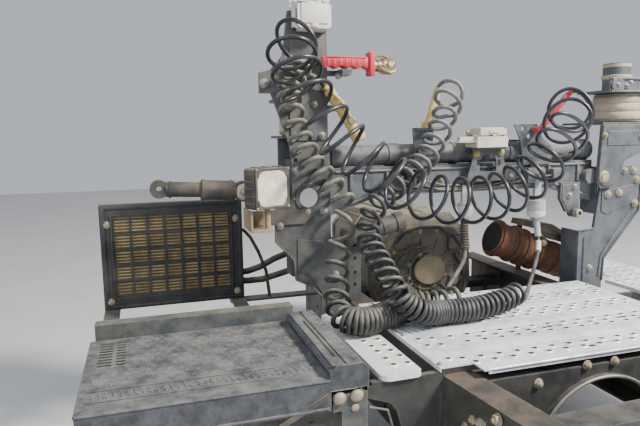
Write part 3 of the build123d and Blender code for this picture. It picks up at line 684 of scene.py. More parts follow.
RED_TURNS = [(0, -0.62), (3, 2.6), (4.5, 3.87), (7, 6.25), (8.2, 7.45), (9.3, 8.57), (12, 11.38), (16, 15.2),
             (18.5, 17.6)]
RED_RAD = [(0, 0.058), (2, 0.066), (16, 0.067), (19, 0.062)]
RED_LEAN = [(0, 0.15), (3, 0.35), (5, 0.28), (7, 0.12), (9, 0), (14, 0), (16, -0.12), (18, -0.22), (19, -0.25)]
YEL_TURNS = [(0, -1), (1, 0), (1.25, 0.24), (2.25, 1.24), (3.25, 2.24), (4.4, 3.24), (5.3, 4.24), (6, 5.25),
             (6.9, 6.25), (7.65, 7.25), (8.4, 8.25), (9.2, 9.25), (10.1, 10.25), (11.3, 10.69), (12.1, 11.19),
             (13.1, 12.19), (14, 13.19), (14.9, 14.18), (15.9, 15.19), (16.8, 16.19), (17.4, 17.3), (18, 19.2),
             (19, 24), (20, 28.8), (21, 32.6), (22, 35.8), (23, 38.2), (24, 39.9), (25, 41.55)]
YEL_RAD = [(0, 0.031), (25, 0.031)]
YEL_LEAN = [(0, 0.5), (9, 0.5), (11.5, 0), (25, 0)]
CAB_TURNS = [(0, 0), (0.35, 0.15), (1.35, 1.15), (2.4, 2.15), (3.35, 3.14), (4.2, 4.14), (5.2, 5.13), (5.9, 6.12),
             (6.6, 7.1), (7.4, 8.1), (8.2, 9.1), (9, 10.1), (10, 11.2), (11, 12.4), (12.5, 14.6), (16.8, 20.4),
             (18.2, 24.5), (21.8, 39), (23, 42.8), (24, 45.6), (25, 48.2)]
CAB_RAD = [(0, 0.035), (6, 0.035), (10, 0.031), (16, 0.029), (19, 0.0278), (25, 0.0278)]
CAB_LEAN = [(0, 0.9), (1, 0.75), (2, 0.5), (7, 0.45), (10, 0), (25, 0)]


def at_V(pts):
    return [V(*p) for p in pts]


def line_length(pts):
    line = route_line(pts, 4)
    return sum((b - a).length for a, b in zip(line, line[1:])), line


def cord_piece(name, pts, radius, look):
    obj = link(bpy.data.objects.new(name, nurbs(name, pts, radius, 3)))
    obj.data.materials.append(M[look])
    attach(obj, "chassis")
    return obj


def near_end(line, length, back=False):
    """The part of a cord's line within a length of one end."""
    pts = line[::-1] if back else line
    out, run = [pts[0]], 0.0
    for a, b in zip(pts, pts[1:]):
        run += (b - a).length
        if run > length:
            break
        out.append(b)
    return out


def relief(name, line, length, r0, r1, look, back=False, ribs=0):
    """A tapered sleeve round one end of a cord, with moulded rings if asked."""
    pts = near_end(line, length, back)
    p = Part(name, "chassis", look)
    run = [0.0]
    for a, b in zip(pts, pts[1:]):
        run.append(run[-1] + (b - a).length)
    n = max(8, ribs * 4)
    fine, radii = [], []
    for i in range(n + 1):
        s = run[-1] * i / n
        j = max(k for k in range(len(run)) if run[k] <= s + 1e-9)
        q = pts[j] if j + 1 >= len(pts) else pts[j].lerp(pts[j + 1], (s - run[j]) / (run[j + 1] - run[j]))
        fine.append(((q.x) * 1000, (q.y - DY) * 1000, (q.z - DZ) * 1000))
        r = (r0 + (r1 - r0) * i / n) * 1000
        radii.append(r * (1.0 + (0.09 if ribs and i % 4 in (1, 2) else 0.0)))
    p.sweep(fine, radii, 16)
    return p.done()


red_helix = coil(at_V(RED), RED_TURNS, RED_RAD, RED_LEAN, 1.95)
red_pts = at_V(RED_START) + red_helix[5:253] + at_V(RED_END)
yel_helix = coil(at_V(YEL), YEL_TURNS, YEL_RAD, YEL_LEAN)
yel_pts = at_V(YEL_START) + yel_helix[3:] + at_V(TAIL_YEL)
cab_helix = coil(at_V(CAB), CAB_TURNS, CAB_RAD, CAB_LEAN)
cab_pts = at_V(CAB_START) + cab_helix[14:] + at_V(TAIL_CAB)

red = cord_piece("red_line", red_pts, 0.00575, "hose_red")
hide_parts("coil_red")
red_len, red_line_pts = line_length(red_pts)
yel = cord_piece("yellow_line", yel_pts, 0.007, "hose_yellow")
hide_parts("coil_yellow", "tail_yellow")
yel_len, yel_line_pts = line_length(yel_pts)
cab = cord_piece("cable_line", cab_pts, 0.0065, "hose_cable")
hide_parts("coil_cable", "tail_cable")
cab_len, cab_line_pts = line_length(cab_pts)
print("cord lengths", round(red_len, 3), round(yel_len, 3), round(cab_len, 3))

red_rel = [relief("red_line_relief_a", red_line_pts, 0.028, 0.0098, 0.0068, "black"),
           relief("red_line_relief_b", red_line_pts, 0.030, 0.0095, 0.0068, "red", True)]
yel_rel = [relief("yellow_line_relief", yel_line_pts, 0.035, 0.0125, 0.0084, "black")]
cab_rel = [relief("cable_line_relief", cab_line_pts, 0.030, 0.0112, 0.0078, "yellow")]


def along(line, lo, hi):
    """Points of a cord's line between two lengths measured back from its far end."""
    pts = line[::-1]
    run, out = 0.0, []
    for a, b in zip(pts, pts[1:]):
        if lo <= run <= hi:
            out.append(a)
        run += (b - a).length
    return out


def sleeve(name, line, lo, hi, r, look, ribs=0, ring=0.0):
    pts = along(line, lo, hi)
    run = [0.0]
    for a, b in zip(pts, pts[1:]):
        run.append(run[-1] + (b - a).length)
    n = max(10, ribs * 4)
    fine, radii = [], []
    for i in range(n + 1):
        s = run[-1] * i / n
        j = max(k for k in range(len(run)) if run[k] <= s + 1e-9)
        q = pts[j] if j + 1 >= len(pts) else pts[j].lerp(pts[j + 1], (s - run[j]) / (run[j + 1] - run[j]))
        fine.append((q.x * 1000, (q.y - DY) * 1000, (q.z - DZ) * 1000))
        radii.append(r * 1000 + (ring * 1000 if ribs and i % 4 in (1, 2) else 0.0))
    p = Part(name, "chassis", look)
    p.sweep(fine, radii, 16)
    return p.done()


yel_rel.append(sleeve("yellow_line_bellows", yel_line_pts, 0.0, 0.125, 0.0115, "black", 12, 0.0035))
cab_rel.append(sleeve("cable_line_conduit", cab_line_pts, 0.0, 0.098, 0.0105, "grey_plastic"))
cab_rel.append(sleeve("cable_line_band", cab_line_pts, 0.098, 0.150, 0.0088, "pale"))


# ------------------------------------------------------------ detail pieces
C = "chassis"
UPZ, BACK = (0, 0, 1), (0, -1, 0)


def at_tilt(angle, axis="Y"):
    return Matrix.Rotation(math.radians(angle), 3, axis)


# -- walkway: raised ribs, ringed holes, rear lip bead
p = Part("deck_ribs", C, "deck")
for yc in (-428, -304, -180, -56):
    x0, x1 = -305, 392
    if yc == -180:
        x0 = -300
    prof = [(-30, 0.0), (-24, 2.2), (-15, 3.4), (0, 3.8), (15, 3.4), (24, 2.2), (30, 0.0)]
    ends = [(x0, 0.0), (x0 + 10, 0.6), (x0 + 24, 1.0), (x1 - 24, 1.0), (x1 - 10, 0.6), (x1, 0.0)]
    grid = []
    for x, k in ends:
        kk = max(k, 0.0)
        grid.append([p.bm.verts.new((x, yc + dy * (0.75 + 0.25 * kk), -0.4 + h * kk)) for dy, h in prof])
    for a, b in zip(grid, grid[1:]):
        for i in range(len(prof) - 1):
            p.bm.faces.new((a[i], a[i + 1], b[i + 1], b[i]))
p.done(60)
p = Part("deck_lip_bead", C, "deck")
p.sweep([(-314, -558, -1.5), (-300, -559.5, -1.0), (0, -560, -0.6), (300, -560, -0.6), (411, -559, -1.0)],
        [2.5, 3.5, 3.5, 3.5, 3.5], 10)
p.done(60)

rows = []
for y, off in ((-263, -293), (-346, -291), (-371, -221), (-392, -267), (-486, -289), (-511, -318)):
    rows += [(off + 50 * k, y) for k in range(0, 15) if off + 50 * k < 398]
for y, off in ((-238, -318), (-219, -293), (-138, -293), (-117, -318), (-96, -268), (-16, -293), (-34, -318)):
    rows += [(off + 50 * k, y) for k in range(0, 15) if off + 50 * k < 398]
left = [(-383, -219), (-342, -211), (-377, -338), (-342, -343), (-341, -389), (-376, -384), (-370, -475),
        (-337, -483), (-383, -138), (-345, -130), (-383, -96), (-345, -92), (-372, -16)]
small = [(-515, -305), (-476, -303), (-509, -344), (-476, -348), (-508, -379), (-475, -384), (-507, -426),
         (-468, -421), (-504, -465), (-469, -465), (-515, -260), (-476, -262), (-512, -224), (-476, -220),
         (-512, -182), (-476, -186), (-512, -140), (-476, -142), (-512, -98), (-476, -100)]


def ringed_hole(ring, hole, x, y, z, r=7.5, lift=2.2):
    ring.lathe([(-0.6, r + 5.0), (lift * 0.45, r + 3.6), (lift, r + 1.2), (lift * 0.8, r), (-0.2, r - 0.8)],
               (x, y, z), UPZ, 14)
    # the hole is a near-black disc inside the ring: painted shade standing in for the opening
    hole.lathe([(-0.4, r + 0.4), (lift * 0.62, r + 0.35)], (x, y, z), UPZ, 14)


def tread(name, body, look, pts, z):
    ring, hole = Part(name, body, look), Part(name + "_holes", body, "dark")
    for x, y in pts:
        ringed_hole(ring, hole, x, y, z)
    ring.done(70)
    hole.done(60)


small_top = (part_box("step_plate_left")[1].z - DZ) * 1000
tread("deck_tread", C, "deck", rows + left, 0.0)
tread("step_tread", C, "small_deck", small, small_top)
rt = [(530 + 46 * i + (20 if j % 2 else 0), -470 + 52 * j) for i in range(5) for j in range(13)]
right_top = (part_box("step_plate_right")[1].z - DZ) * 1000
tread("right_tread", C, "deck", rt, right_top)
# near-black oval discs: painted shade standing in for oval holes in the deck
p = Part("deck_ovals", C, "dark")
for x, y in ((1, -366), (3, -518), (250, -366), (252, -518)):
    vs = p.lathe([(-0.4, 10.0), (0.9, 9.6)], (0, 0, 0), UPZ, 18)
    for v in vs:
        v.co = Vector((x + v.co.x, y + v.co.y * 0.55, v.co.z))
p.done()
# edge bolts
p = Part("deck_bolts", C, "bolt_grey")
for x, y in ((-400, -300), (-400, -60), (400, -300), (400, -60), (-404, -500)):
    p.bolt((x, y, 0), UPZ, 5.0, 3.5)
p.done()

# -- battery cover (lifts off with it)
B = "battery_cover"
TOP = 12.0
pad, gro = Part("cover_pads", B, "cover_pad"), Part("cover_grooves", B, "cover")
gro.box(-1158, -766, -476, -468, TOP - 1, TOP + 2.5, 1.2)
gro.box(-1158, -766, -424, -417, TOP - 1, TOP + 2.5, 1.2)
for j, yc in enumerate((-446, -396, -372, -346, -322, -296, -272, -246, -222, -196, -172, -148, -130)):
    step = 24.0
    for i in range(20):
        x = -1148 + step * i + (12 if j % 2 else 0)
        if x > -690 or (-1156 < x < -1086 and yc > -292):
            continue
        w = random.uniform(5.5, 8.5)
        a = math.radians(random.uniform(38, 52))
        for s in (1, -1):
            pad.box(x - w, x + w, yc - 1.6, yc + 1.6, TOP - 0.8, TOP + random.uniform(0.9, 1.6), 0.6, 1,
                    Matrix.Rotation(s * a, 3, "Z"), (x, yc, TOP))
for x in range(-1150, -690, 14):
    gro.box(x, x + 6, -462, -432, TOP - 0.8, TOP + 1.4, 0.8, 1, Matrix.Rotation(math.radians(12), 3, "Z"),
            (x + 3, -447, TOP))
for x, y in ((-1130, -452), (-1050, -452), (-960, -452), (-870, -452), (-780, -452)):
    gro.box(x, x + 20, y - 3, y + 3, TOP - 0.8, TOP + 2.6, 1.0, 1)
pad.done()
gro.done()
# near-black boxes: painted shade in the vent slots and the groove on the hump
slot = Part("cover_slots", B, "dark")
for xc in (-1134, -1099):
    for y in range(-286, -130, 18):
        slot.box(xc - (15 if xc < -1110 else 10), xc + (15 if xc < -1110 else 10), y - 4, y + 4,
                 TOP - 0.5, TOP + 0.7, 0.4, 1)
slot.box(-650, -644, -470, -215, 39.6, 40.6, 0.3, 1)
slot.done()
rim = Part("cover_rim", B, "cover")
rim.sweep([(-1174, -521, TOP - 3), (-1174, -111, TOP - 3)], [3.2, 3.2], 8)
rim.sweep([(-1173, -521, TOP - 3), (-676, -521, TOP - 3)], [3.2, 3.2], 8)
rim.sweep([(-1173, -521, -52), (-676, -521, -52)], [4.0, 4.0], 8)
rim.box(-636, -628, -518, -134, 39.5, 43.0, 1.5)
rim.box(-668, -660, -518, -134, 38.0, 41.5, 1.5)
rim.done()
strap = Part("box_strap", B, "black")
strap.plate([(-801, -92), (-678, -30), (-678, -16), (-801, -78)], (0, -522, 0), (1, 0, 0), (0, 0, 1), 0.1 + 2.0)
strap.done()
bb = Part("box_bolts", C, "bolt")
bb.lathe([(-0.5, 15), (2, 15), (7, 12), (10, 7), (11, 0)], (-612, -515, -34), BACK, 22)
bb.lathe([(-0.5, 15), (2, 15), (7, 12), (10, 7), (11, 0)], (-652, -515, -36), BACK, 22)
bb.lathe([(-0.5, 9), (2, 9), (4, 6), (5, 0)], (-616, -515, -62), BACK, 16)
bb.bolt((-600, -515, -150), BACK, 8, 6)
bb.bolt((-600, -515, -330), BACK, 8, 6)
bb.done()
rib = Part("box_ribs", C, "box")
for x in (-1110, -1010, -910, -810, -710):
    rib.box(x - 5, x + 5, -499.5, -495, -400, -90, 1.5)
for z in (-396, -250):
    rib.box(-1155, -650, -499, -495, z - 5, z + 5, 1.5)
for y in (-440, -340, -240, -160):
    rib.box(-1164, -1159, y - 5, y + 5, -400, -90, 1.5)
rib.done()

# -- oil cooler: fine bars, brackets, bolts, header ribs, pipes
fin = Part("cooler_bars", C, "cooler")
for i in range(26):
    z = 23 + i * 10.1
    fin.box(-1129, -759, 275.5, 280, z - 1.2, z + 1.2, 0.5, 1)
fin.done()
corr = Part("cooler_fin_rows", C, "fins")
for i in range(26):
    z = 18 + i * 10.1
    corr.box(-1129, -759, 279.0, 285, z - 2.4, z + 2.4, 1.0, 1)
corr.done()
edge = Part("cooler_edges", C, "cooler")
edge.box(-1163, -722, 268.5, 273, 300, 309, 1.5)
edge.box(-1163, -722, 268.5, 273, -18, -10, 1.5)
edge.box(-1162, -1150, 266, 273, -18, 306, 2)
edge.box(-735, -723, 266, 273, -18, 306, 2)
edge.box(-1134, -1129, 268, 274, 12, 282, 1.5)
edge.box(-759, -754, 268, 274, 12, 282, 1.5)
edge.done()
cb = Part("cooler_bolts", C, "bolt")
for x, z in ((-1145, 252), (-741, 251), (-1145, 4), (-742, 4)):
    cb.bolt((x, 272, z), BACK, 8, 6)
cb.done()
pipe = Part("cooler_pipes", C, "black")
pipe.sweep([(-735, 300, 60), (-700, 300, 62), (-660, 296, 74), (-610, 290, 100), (-560, 285, 118), (-500, 280, 118)],
           [11] * 6, 12)
pipe.sweep([(-735, 300, 30), (-700, 300, 28), (-650, 296, 30), (-590, 290, 46), (-520, 284, 66), (-470, 280, 70)],
           [11] * 6, 12)
pipe.sweep([(-735, 296, 210), (-712, 296, 206), (-690, 294, 180), (-665, 290, 130), (-640, 288, 60), (-630, 286, -30)],
           [6] * 6, 10)
pipe.done()

# -- towers
f = Part("tower_left_lips", C, "tower")
f.sweep([(-611, 9, 340), (-611, 9, 450), (-618, 9, 500), (-636, 9, 551)], [3] * 4, 8)
f.sweep([(-665, 9, 306), (-665, 9, 211), (-632, 9, 176), (-611, 9, 153), (-606, 9, 92), (-563, 9, 71), (-525, 9, 34)],
        [3] * 7, 8)
f.plate([(-600, 215), (-520, 205), (-470, 60), (-470, -120), (-510, -120), (-510, 20), (-560, 100), (-600, 120)],
        (0, 10, 0), (1, 0, 0), (0, 0, 1), 3.0)
f.ring([(-1, 44), (2.0, 44), (3.5, 42.5), (3.5, 31), (2.5, 29.6), (-1, 29.6)], (-560, 10, 337), BACK, 36)
f.plate([(-613, 505), (-502, 505), (-502, 640), (-560, 650), (-616, 600)], (0, 10, 0), (1, 0, 0), (0, 0, 1), 4.0)
f.done()
f = Part("tower_left_bolts", C, "bolt_grey")
for x, z, s in ((-652, 260, 9), (-566, 297, 8), (-516, 296, 8), (-599, 418, 8), (-687, 667, 9), (-640, 340, 0),
                (-600, 520, 7), (-520, 520, 7), (-540, 610, 7), (-480, 100, 7), (-490, -40, 8), (-430, -60, 8),
                (-430, -120, 8), (-500, -120, 8)):
    if s:
        y = 6 if (z > 500 and x > -620 and z < 640) else (7 if -600 < x < -470 and z < 215 else 10)
        f.bolt((x, y, z), BACK, s, 7, True, 3)
f.done()
f = Part("tower_upper_cap", C, "tower")
f.box(-612, -504, 6, 10.5, 690, 806, 2)
f.box(-640, -612, 7, 11, 700, 742, 2)
f.done()

g = Part("tower_right_plate", C, "tower_blue")
g.plate([(470, 345), (500, 330), (545, 335), (560, 350), (580, 415), (625, 434), (676, 455), (676, 540), (484, 540),
         (478, 500)], (0, -6, 0), (1, 0, 0), (0, 0, 1), 4.0, 1.5)
g.plate([(500, 470), (660, 470), (660, 520), (500, 520)], (0, -10, 0), (1, 0, 0), (0, 0, 1), 3.0, 2.5)
g.plate([(505, 240), (528, 228), (655, 268), (660, 300), (640, 330), (505, 312)], (0, 10, 0), (1, 0, 0), (0, 0, 1),
        3.5, 1.5)
g.sweep([(415, 8, -28), (415, 8, 176), (440, 8, 178), (478, 8, 182), (486, 8, 240), (496, 8, 312)], [3.0] * 6, 8)
g.sweep([(524, 8, -10), (527, 8, 69), (600, 8, 152), (672, 8, 235), (675, 8, 330)], [3.0] * 5, 8)
g.sweep([(508, 9, 10), (516, 9, 80), (560, 9, 140), (630, 9, 225)], [5.0] * 4, 10)
g.sweep([(440, 9, -20), (440, 9, 150)], [4.0] * 2, 10)
for z in (495, 520):
    g.sweep([(508, -8, z - 12), (560, -9, z - 10), (610, -9, z - 8), (662, -8, z - 4)], [4.0] * 4, 8)
g.done()
g = Part("tower_right_bolts", C, "bolt")
for x, y, z, s in ((529, 6, 300, 9), (578, 6, 303, 9), (650, 6, 262, 9), (655, 10, 347, 9), (488, -10, 505, 7),
                   (640, -13, 500, 7), (640, 10, 380, 9), (600, 10, 380, 8)):
    g.bolt((x, y, z), BACK, s, 7, True, 3)
g.lathe([(-1, 21), (3, 21), (6, 15), (9, 14), (10, 0)], (493, -10, 363), BACK, 24)
g.lathe([(-1, 27), (3, 27), (4, 25), (8, 22), (8, 15), (5, 13), (5, 0)], (464, 24, 365), BACK, 30)
g.done()
h = Part("right_foot_bolts", C, "bolt_grey")
for x, zz in ((430, -60), (430, -120), (490, -60), (490, -120), (468, 40)):
    h.bolt((x, 10, zz), BACK, 8, 7, True, 4)
h.done()

# -- cross beam, tube, lug
h = Part("beam_ribs", C, "beam")
h.sweep([(-470, 34, 408), (0, 34, 408), (470, 34, 408)], [4.0] * 3, 8)
h.sweep([(-468, 34, 294), (-322, 34, 344), (0, 34, 344), (322, 34, 344), (468, 34, 296)], [4.0] * 5, 8)
for x in (-420, -300, -180, 180, 300, 420):
    h.box(x - 5, x + 5, 29.5, 37, 350, 404, 2)
for x0, x1, r in ((-480, -440, 37), (-290, -250, 36.5), (150, 190, 36.5), (440, 480, 37), (-60, -40, 36), (20, 40, 36)):
    h.lathe([(0, r - 4), (2, r), (x1 - x0 - 2, r), (x1 - x0, r - 4)], (x0, 75, 455), (1, 0, 0), 32)
h.plate([(350, 340), (350, 292), (376, 248), (403, 238), (418, 252), (418, 340)], (0, 24, 0), (1, 0, 0), (0, 0, 1), 2.5)
h.done()
h = Part("beam_bolts", C, "bolt_grey")
for x, z in ((-450, 380), (-250, 380), (-110, 372), (150, 372), (250, 380), (380, 300), (400, 330)):
    h.bolt((x, 21.5 if x >= 380 else 36, z), BACK, 7, 6, True, 3)
h.lathe([(0, 14), (18, 14), (20, 12), (20, 7), (6, 7), (6, 0)], (403, 14, 240), BACK, 24)
h.done()
h = Part("valve_block", C, "beam")
h.box(196, 262, 4, 37, 350, 402, 4, 2)
h.lathe([(0, 15), (16, 15), (19, 12), (19, 0)], (230, 20, 401), UPZ, 20)
h.lathe([(0, 9), (20, 9), (22, 7), (22, 0)], (229, 5, 376), BACK, 18)
h.box(300, 336, 8, 37, 356, 396, 3, 2)
h.box(-236, -190, 8, 37, 352, 398, 3, 2)
h.lathe([(0, 11), (14, 11), (15, 9), (15, 0)], (-213, 9, 375), BACK, 18)
h.done()
h = Part("beam_lines", C, "black")
h.sweep([(262, 20, 372), (284, 18, 372), (300, 18, 374)], [3.5] * 3, 8)
h.sweep([(196, 20, 376), (150, 26, 368), (90, 30, 352), (0, 30, 350), (-100, 30, 354), (-190, 22, 374)], [3.5] * 6, 8)
h.sweep([(196, 20, 364), (150, 28, 352), (90, 31, 340), (0, 31, 336), (-120, 31, 340), (-190, 24, 362)], [3.5] * 6, 8)
h.sweep([(230, 20, 418), (228, 30, 440), (200, 62, 492), (150, 70, 493), (60, 72, 492)], [3.5] * 5, 8)
h.done()

# -- middle socket bracket
m = Part("mid_bracket_bolts", C, "yellow_mark")
for x, z in ((1, 453), (91, 457)):
    m.bolt((x, 8, z), BACK, 8, 7, True, 3)
m.done()
# near-black boxes: painted shade in the bracket slots
m = Part("mid_bracket_slots", C, "dark")
for x, z in ((8, 425), (85, 424)):
    m.box(x - 5, x + 5, 7.2, 8.5, z - 9, z + 9, 0.4, 1)
m.done()
m = Part("mid_socket_trim", C, "socket_beige")
m.box(-24, 98, -22, 44, 489, 499, 2.5)
m.plate([(-78, -8), (-24, -12), (-24, 12), (-78, 8)], (0, -6, 494), (1, 0, 0), (0, -1, 0), 4.0)
m.lathe([(-1, 9), (6, 9), (6, 4.5), (3, 4.5), (3, 0)], (-64, -6, 497), UPZ, 18)
for x in (-8, 82):
    m.lathe([(-1, 7), (4, 7), (5, 5), (5, 0)], (x, -17, 507), UPZ, 16)
m.done()
m = Part("mid_lid_trim", "socket_mid_lid", "socket_beige")
m.box(-6, 80, -24, 24, 530, 536, 2.5)
m.box(20, 54, -33, -26, 518, 528, 2)
m.done()

# -- left socket
s = Part("left_socket_trim", C, "socket_white")
s.lathe([(0, 5), (96, 5)], (-599, 0, 893), (1, 0, 0), 16)
s.box(-606, -598, -22, 6, 820, 878, 2)
s.box(-504, -496, -22, 6, 820, 878, 2)
s.lathe([(-1, 6), (3, 6), (4, 4), (4, 0)], (-598, -24, 820), BACK, 14)
s.done()
s = Part("left_lid_trim", "socket_left_lid", "socket_white")
s.box(-590, -512, -48, -43, 826, 880, 2.5)
s.lathe([(0, 8), (20, 8)], (-561, -40, 893), (1, 0, 0), 18)
s.box(-560, -542, -50, -42, 816, 826, 2)
s.done()

# -- red coupling, replacing the plain shape
r = Part("red_grip", C, "red")
grip = [(-527, 741), (-470, 744), (-400, 741), (-384, 744), (-384, 705)]
low = []
for i in range(0, 25):
    x = -388 - i * 5.4
    low.append((x, 708 + 3.5 * (1 - math.cos(2 * math.pi * i / 6.0)) * 0.5 * 2))
grip += low + [(-524, 712)]
r.plate(grip, (0, 0, 0), (1, 0, 0), (0, 0, 1), 28, 5.0)
for v in r.bm.verts:
    v.co.y += -1
r.box(-384, -368, -35, 3, 689, 757, 4, 3)
r.box(-376, -366, -24, -6, 748, 757.4, 2, 2)
for x in (-508, -490, -472, -454, -436, -418, -400):
    r.box(x - 3, x + 3, -30.2, -27, 716, 736, 1.2, 2)
r.box(-516, -392, -31, -28, 738, 742, 1.5, 2)
red_grip = r.done(50)
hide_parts("red_coupling")
r = Part("red_strain", C, "black")
r.lathe([(0, 8), (3, 10.5), (30, 11), (33, 9.8), (36, 11), (39, 9.8), (42, 11), (45, 9.8), (48, 11), (70, 11.5),
         (80, 13), (84, 13)], (-600, -15, 728), (1, 0, 0), 22)
r.box(-527, -500, -26, -4, 718, 736, 3, 2)
r.done()
r = Part("red_head", C, "brass")
r.lathe([(0, 17), (6, 17), (7, 14), (12, 14), (13, 17), (24, 17.5), (26, 20), (30, 23), (44, 24), (58, 24), (64, 21),
         (68, 15), (68, 0)], (-369, -15, 719), (1, 0, -0.02), 32)
r.lathe([(0, 11), (5, 11), (8, 8), (8, 0)], (-322, -34, 722), (0.15, -1, 0.1), 22)
r.sweep([(-352, -33, 712), (-340, -38, 704), (-322, -40, 698), (-308, -36, 702), (-304, -30, 712)], [4, 5, 6, 5, 3.5], 10)
r.sweep([(-360, -15, 738), (-352, -15, 746), (-338, -16, 748), (-322, -16, 744)], [3.5] * 4, 10)
r.done()
r = Part("red_bracket_bolts", C, "bolt_grey")
r.bolt((-470, -2, 690), BACK, 7, 6, True, 3)
r.done()

# -- yellow coupling, replacing the plain shape
y = Part("yellow_grip", C, "yellow")
ya, yb, yc_ = Vector((-506, -15, 652)), Vector((-426, -15, 532)), Vector((-408, -15, 505))
d1 = (yb - ya).normalized()
L1 = (yb - ya).length
prof = [(0, 12), (4, 16)]
for i in range(9):
    h0 = 14 + i * 13.5
    prof += [(h0, 17), (h0 + 3, 14.6), (h0 + 7, 14.6), (h0 + 10, 17)]
prof += [(L1 - 3, 17), (L1, 16)]
y.lathe(prof, ya, d1, 24)
y.lathe([(-2, 19), (2, 22), (26, 22), (30, 20), (32, 15), (32, 0)], yb, d1, 28)
y.box(-520, -500, -31.5, 1.5, 648, 660, 3, 2)
y.sweep([(-500, -33, 640), (-478, -38, 620), (-458, -37, 596), (-444, -33, 570)], [4, 5, 5, 4], 10)
yellow_grip = y.done(40)
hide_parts("yellow_coupling")
y = Part("yellow_coupling_cap", C, "brass")
y.lathe([(0, 12), (6, 12), (9, 9), (9, 0)], (-442, -34, 560), (-0.2, -1, 0.1), 22)
y.done()

# -- lamp: bezel and clips turn with it
def lamp_pt(x, yy, zz):
    a = math.radians(25)
    return (-704 + x * math.cos(a) - yy * math.sin(a), -71 + x * math.sin(a) + yy * math.cos(a), 380 + zz)


LT = Matrix.Rotation(math.radians(25), 3, "Z")
lamp = Part("lamp_bezel", "lamp", "lamp_body")
for x0, x1, z0, z1 in ((-56, 56, 48.5, 56), (-56, 56, -56, -48.5), (-57, -49.7, -56, 56), (49.7, 57, -56, 56)):
    lamp.box(-704 + x0, -704 + x1, -71 - 29, -71 - 22, 380 + z0, 380 + z1, 3, 2, LT, (-704, -71, 380))
for zz in (-40, -20, 0, 20, 40):
    lamp.box(-704 - 61.5, -704 - 58, -71 - 18, -71 + 18, 380 + zz - 2, 380 + zz + 2, 1, 1, LT, (-704, -71, 380))
for xx in (-36, 0, 36):
    lamp.box(-704 + xx - 3, -704 + xx + 3, -71 - 20, -71 + 22, 380 + 55, 380 + 58.5, 1, 1, LT, (-704, -71, 380))
lamp.done()
LN = (math.sin(math.radians(25)), -math.cos(math.radians(25)), 0)
lamp = Part("lamp_corners", "lamp", "lamp_body")
for sx in (-1, 1):
    for sz in (-1, 1):
        pts = [(50.5 * sx, 50.5 * sz)]
        for i in range(9):
            a = math.pi / 2 * i / 8
            pts.append(((28 + 19 * math.sin(a)) * sx, (28 + 20 * math.cos(a)) * sz))
        if sx * sz < 0:
            pts = pts[::-1]
        o = lamp_pt(0, -26.4, 0)
        lamp.plate(pts, o, (math.cos(math.radians(25)), math.sin(math.radians(25)), 0), (0, 0, 1), 3.0, 0.6)
lamp.done()
# near-white glossy disc and streak on the lens: painted reflection of the reflector's shine
lamp = Part("lamp_painted_reflection", "lamp", "lens_bright")
lamp.lathe([(0, 12), (0.6, 11.6), (1.2, 6), (1.4, 0)], lamp_pt(0, -26.0, 4), LN, 26)
lamp.plate([(-7, -44), (7, -44), (10, -14), (-10, -14)], lamp_pt(0, -25.6, 0),
           (math.cos(math.radians(25)), math.sin(math.radians(25)), 0), (0, 0, 1), 0.8, 0.2)
lamp.done()
lamp = Part("lamp_lens_ribs", "lamp", "lens")
for i in range(-8, 9):
    if abs(i) > 1:
        lamp.box(-704 + i * 5.4 - 0.9, -704 + i * 5.4 + 0.9, -71 - 26.6, -71 - 25.4, 380 - 42, 380 + 42, 0.5, 1, LT,
                 (-704, -71, 380))
lamp.done()
lamp = Part("lamp_screws", "lamp", "bolt_grey")
for sx, sz in ((-53, 52), (53, 52), (-53, -52), (53, -52)):
    lamp.lathe([(-1, 3.4), (1.2, 3.4), (1.8, 2.6), (1.8, 0)], lamp_pt(sx, -29, sz),
               LN, 12)
lamp.done()

# -- damper, spring bellows, upper arms
q = Part("damper_trim", C, "damper")
q.lathe([(0, 30), (2, 32), (8, 32), (10, 30)], (-866, 100, 366), (1, 0, -0.06), 30)
q.lathe([(0, 30), (2, 31.5), (7, 31.5), (9, 30)], (-784, 100, 361), (1, 0, -0.06), 30)
q.lathe([(0, 23), (2, 25), (6, 25), (8, 23)], (-958, 100, 371), (1, 0, -0.06), 30)
q.done()
q = Part("damper_bush", C, "beige")
q.lathe([(-1, 25), (2, 25), (6, 21), (8, 12), (8, 0)], (-742, 80, 357), BACK, 28)
q.done()
q = Part("damper_bolt", C, "bolt_grey")
q.bolt((-742, 73, 357), BACK, 9, 8, True, 3)
q.done()
q = Part("bellows", C, "bellows")
for cx, cy, z0, z1, rr in ((640, 100, 549, 652, 82), (-562, 115, 520, 620, 58)):
    n = 3
    h = z1 - z0
    pr = [(0.5, rr * 0.86), (4, rr * 0.98)]
    pr += [(h * 0.18, rr), (h * 0.34, rr * 1.0), (h * 0.37, rr * 0.965), (h * 0.40, rr), (h * 0.62, rr * 1.0),
           (h * 0.65, rr * 0.965), (h * 0.68, rr), (h * 0.86, rr * 0.99)]
    pr += [(h - 4, rr * 0.96), (h - 0.5, rr * 0.84)]
    q.lathe(pr, (cx, cy, z0), UPZ, 56)
bellows = q.done(50)
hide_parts("cab_springs")
q = Part("spring_clamps", C, "rod")
for cx, cy, zz, rr in ((640, 100, 560, 83), (640, 100, 640, 82), (-562, 115, 530, 58.6), (-562, 115, 610, 58)):
    q.lathe([(-3, rr - 1), (-2, rr + 0.8), (2, rr + 0.8), (3, rr - 1)], (cx, cy, zz), UPZ, 48)
q.done()
q = Part("arm_trim", C, "arm")
q.sweep([(524, 9, 697), (600, 8, 698), (730, 8, 698)], [4.0] * 3, 8)
q.sweep([(524, 9, 655), (600, 8, 655), (730, 8, 655)], [4.0] * 3, 8)
q.lathe([(-1, 26), (4, 26), (6, 24), (6, 12), (3, 11), (3, 0)], (548, 10, 676), BACK, 30)
q.done()
q = Part("arm_bolts", C, "bolt_grey")
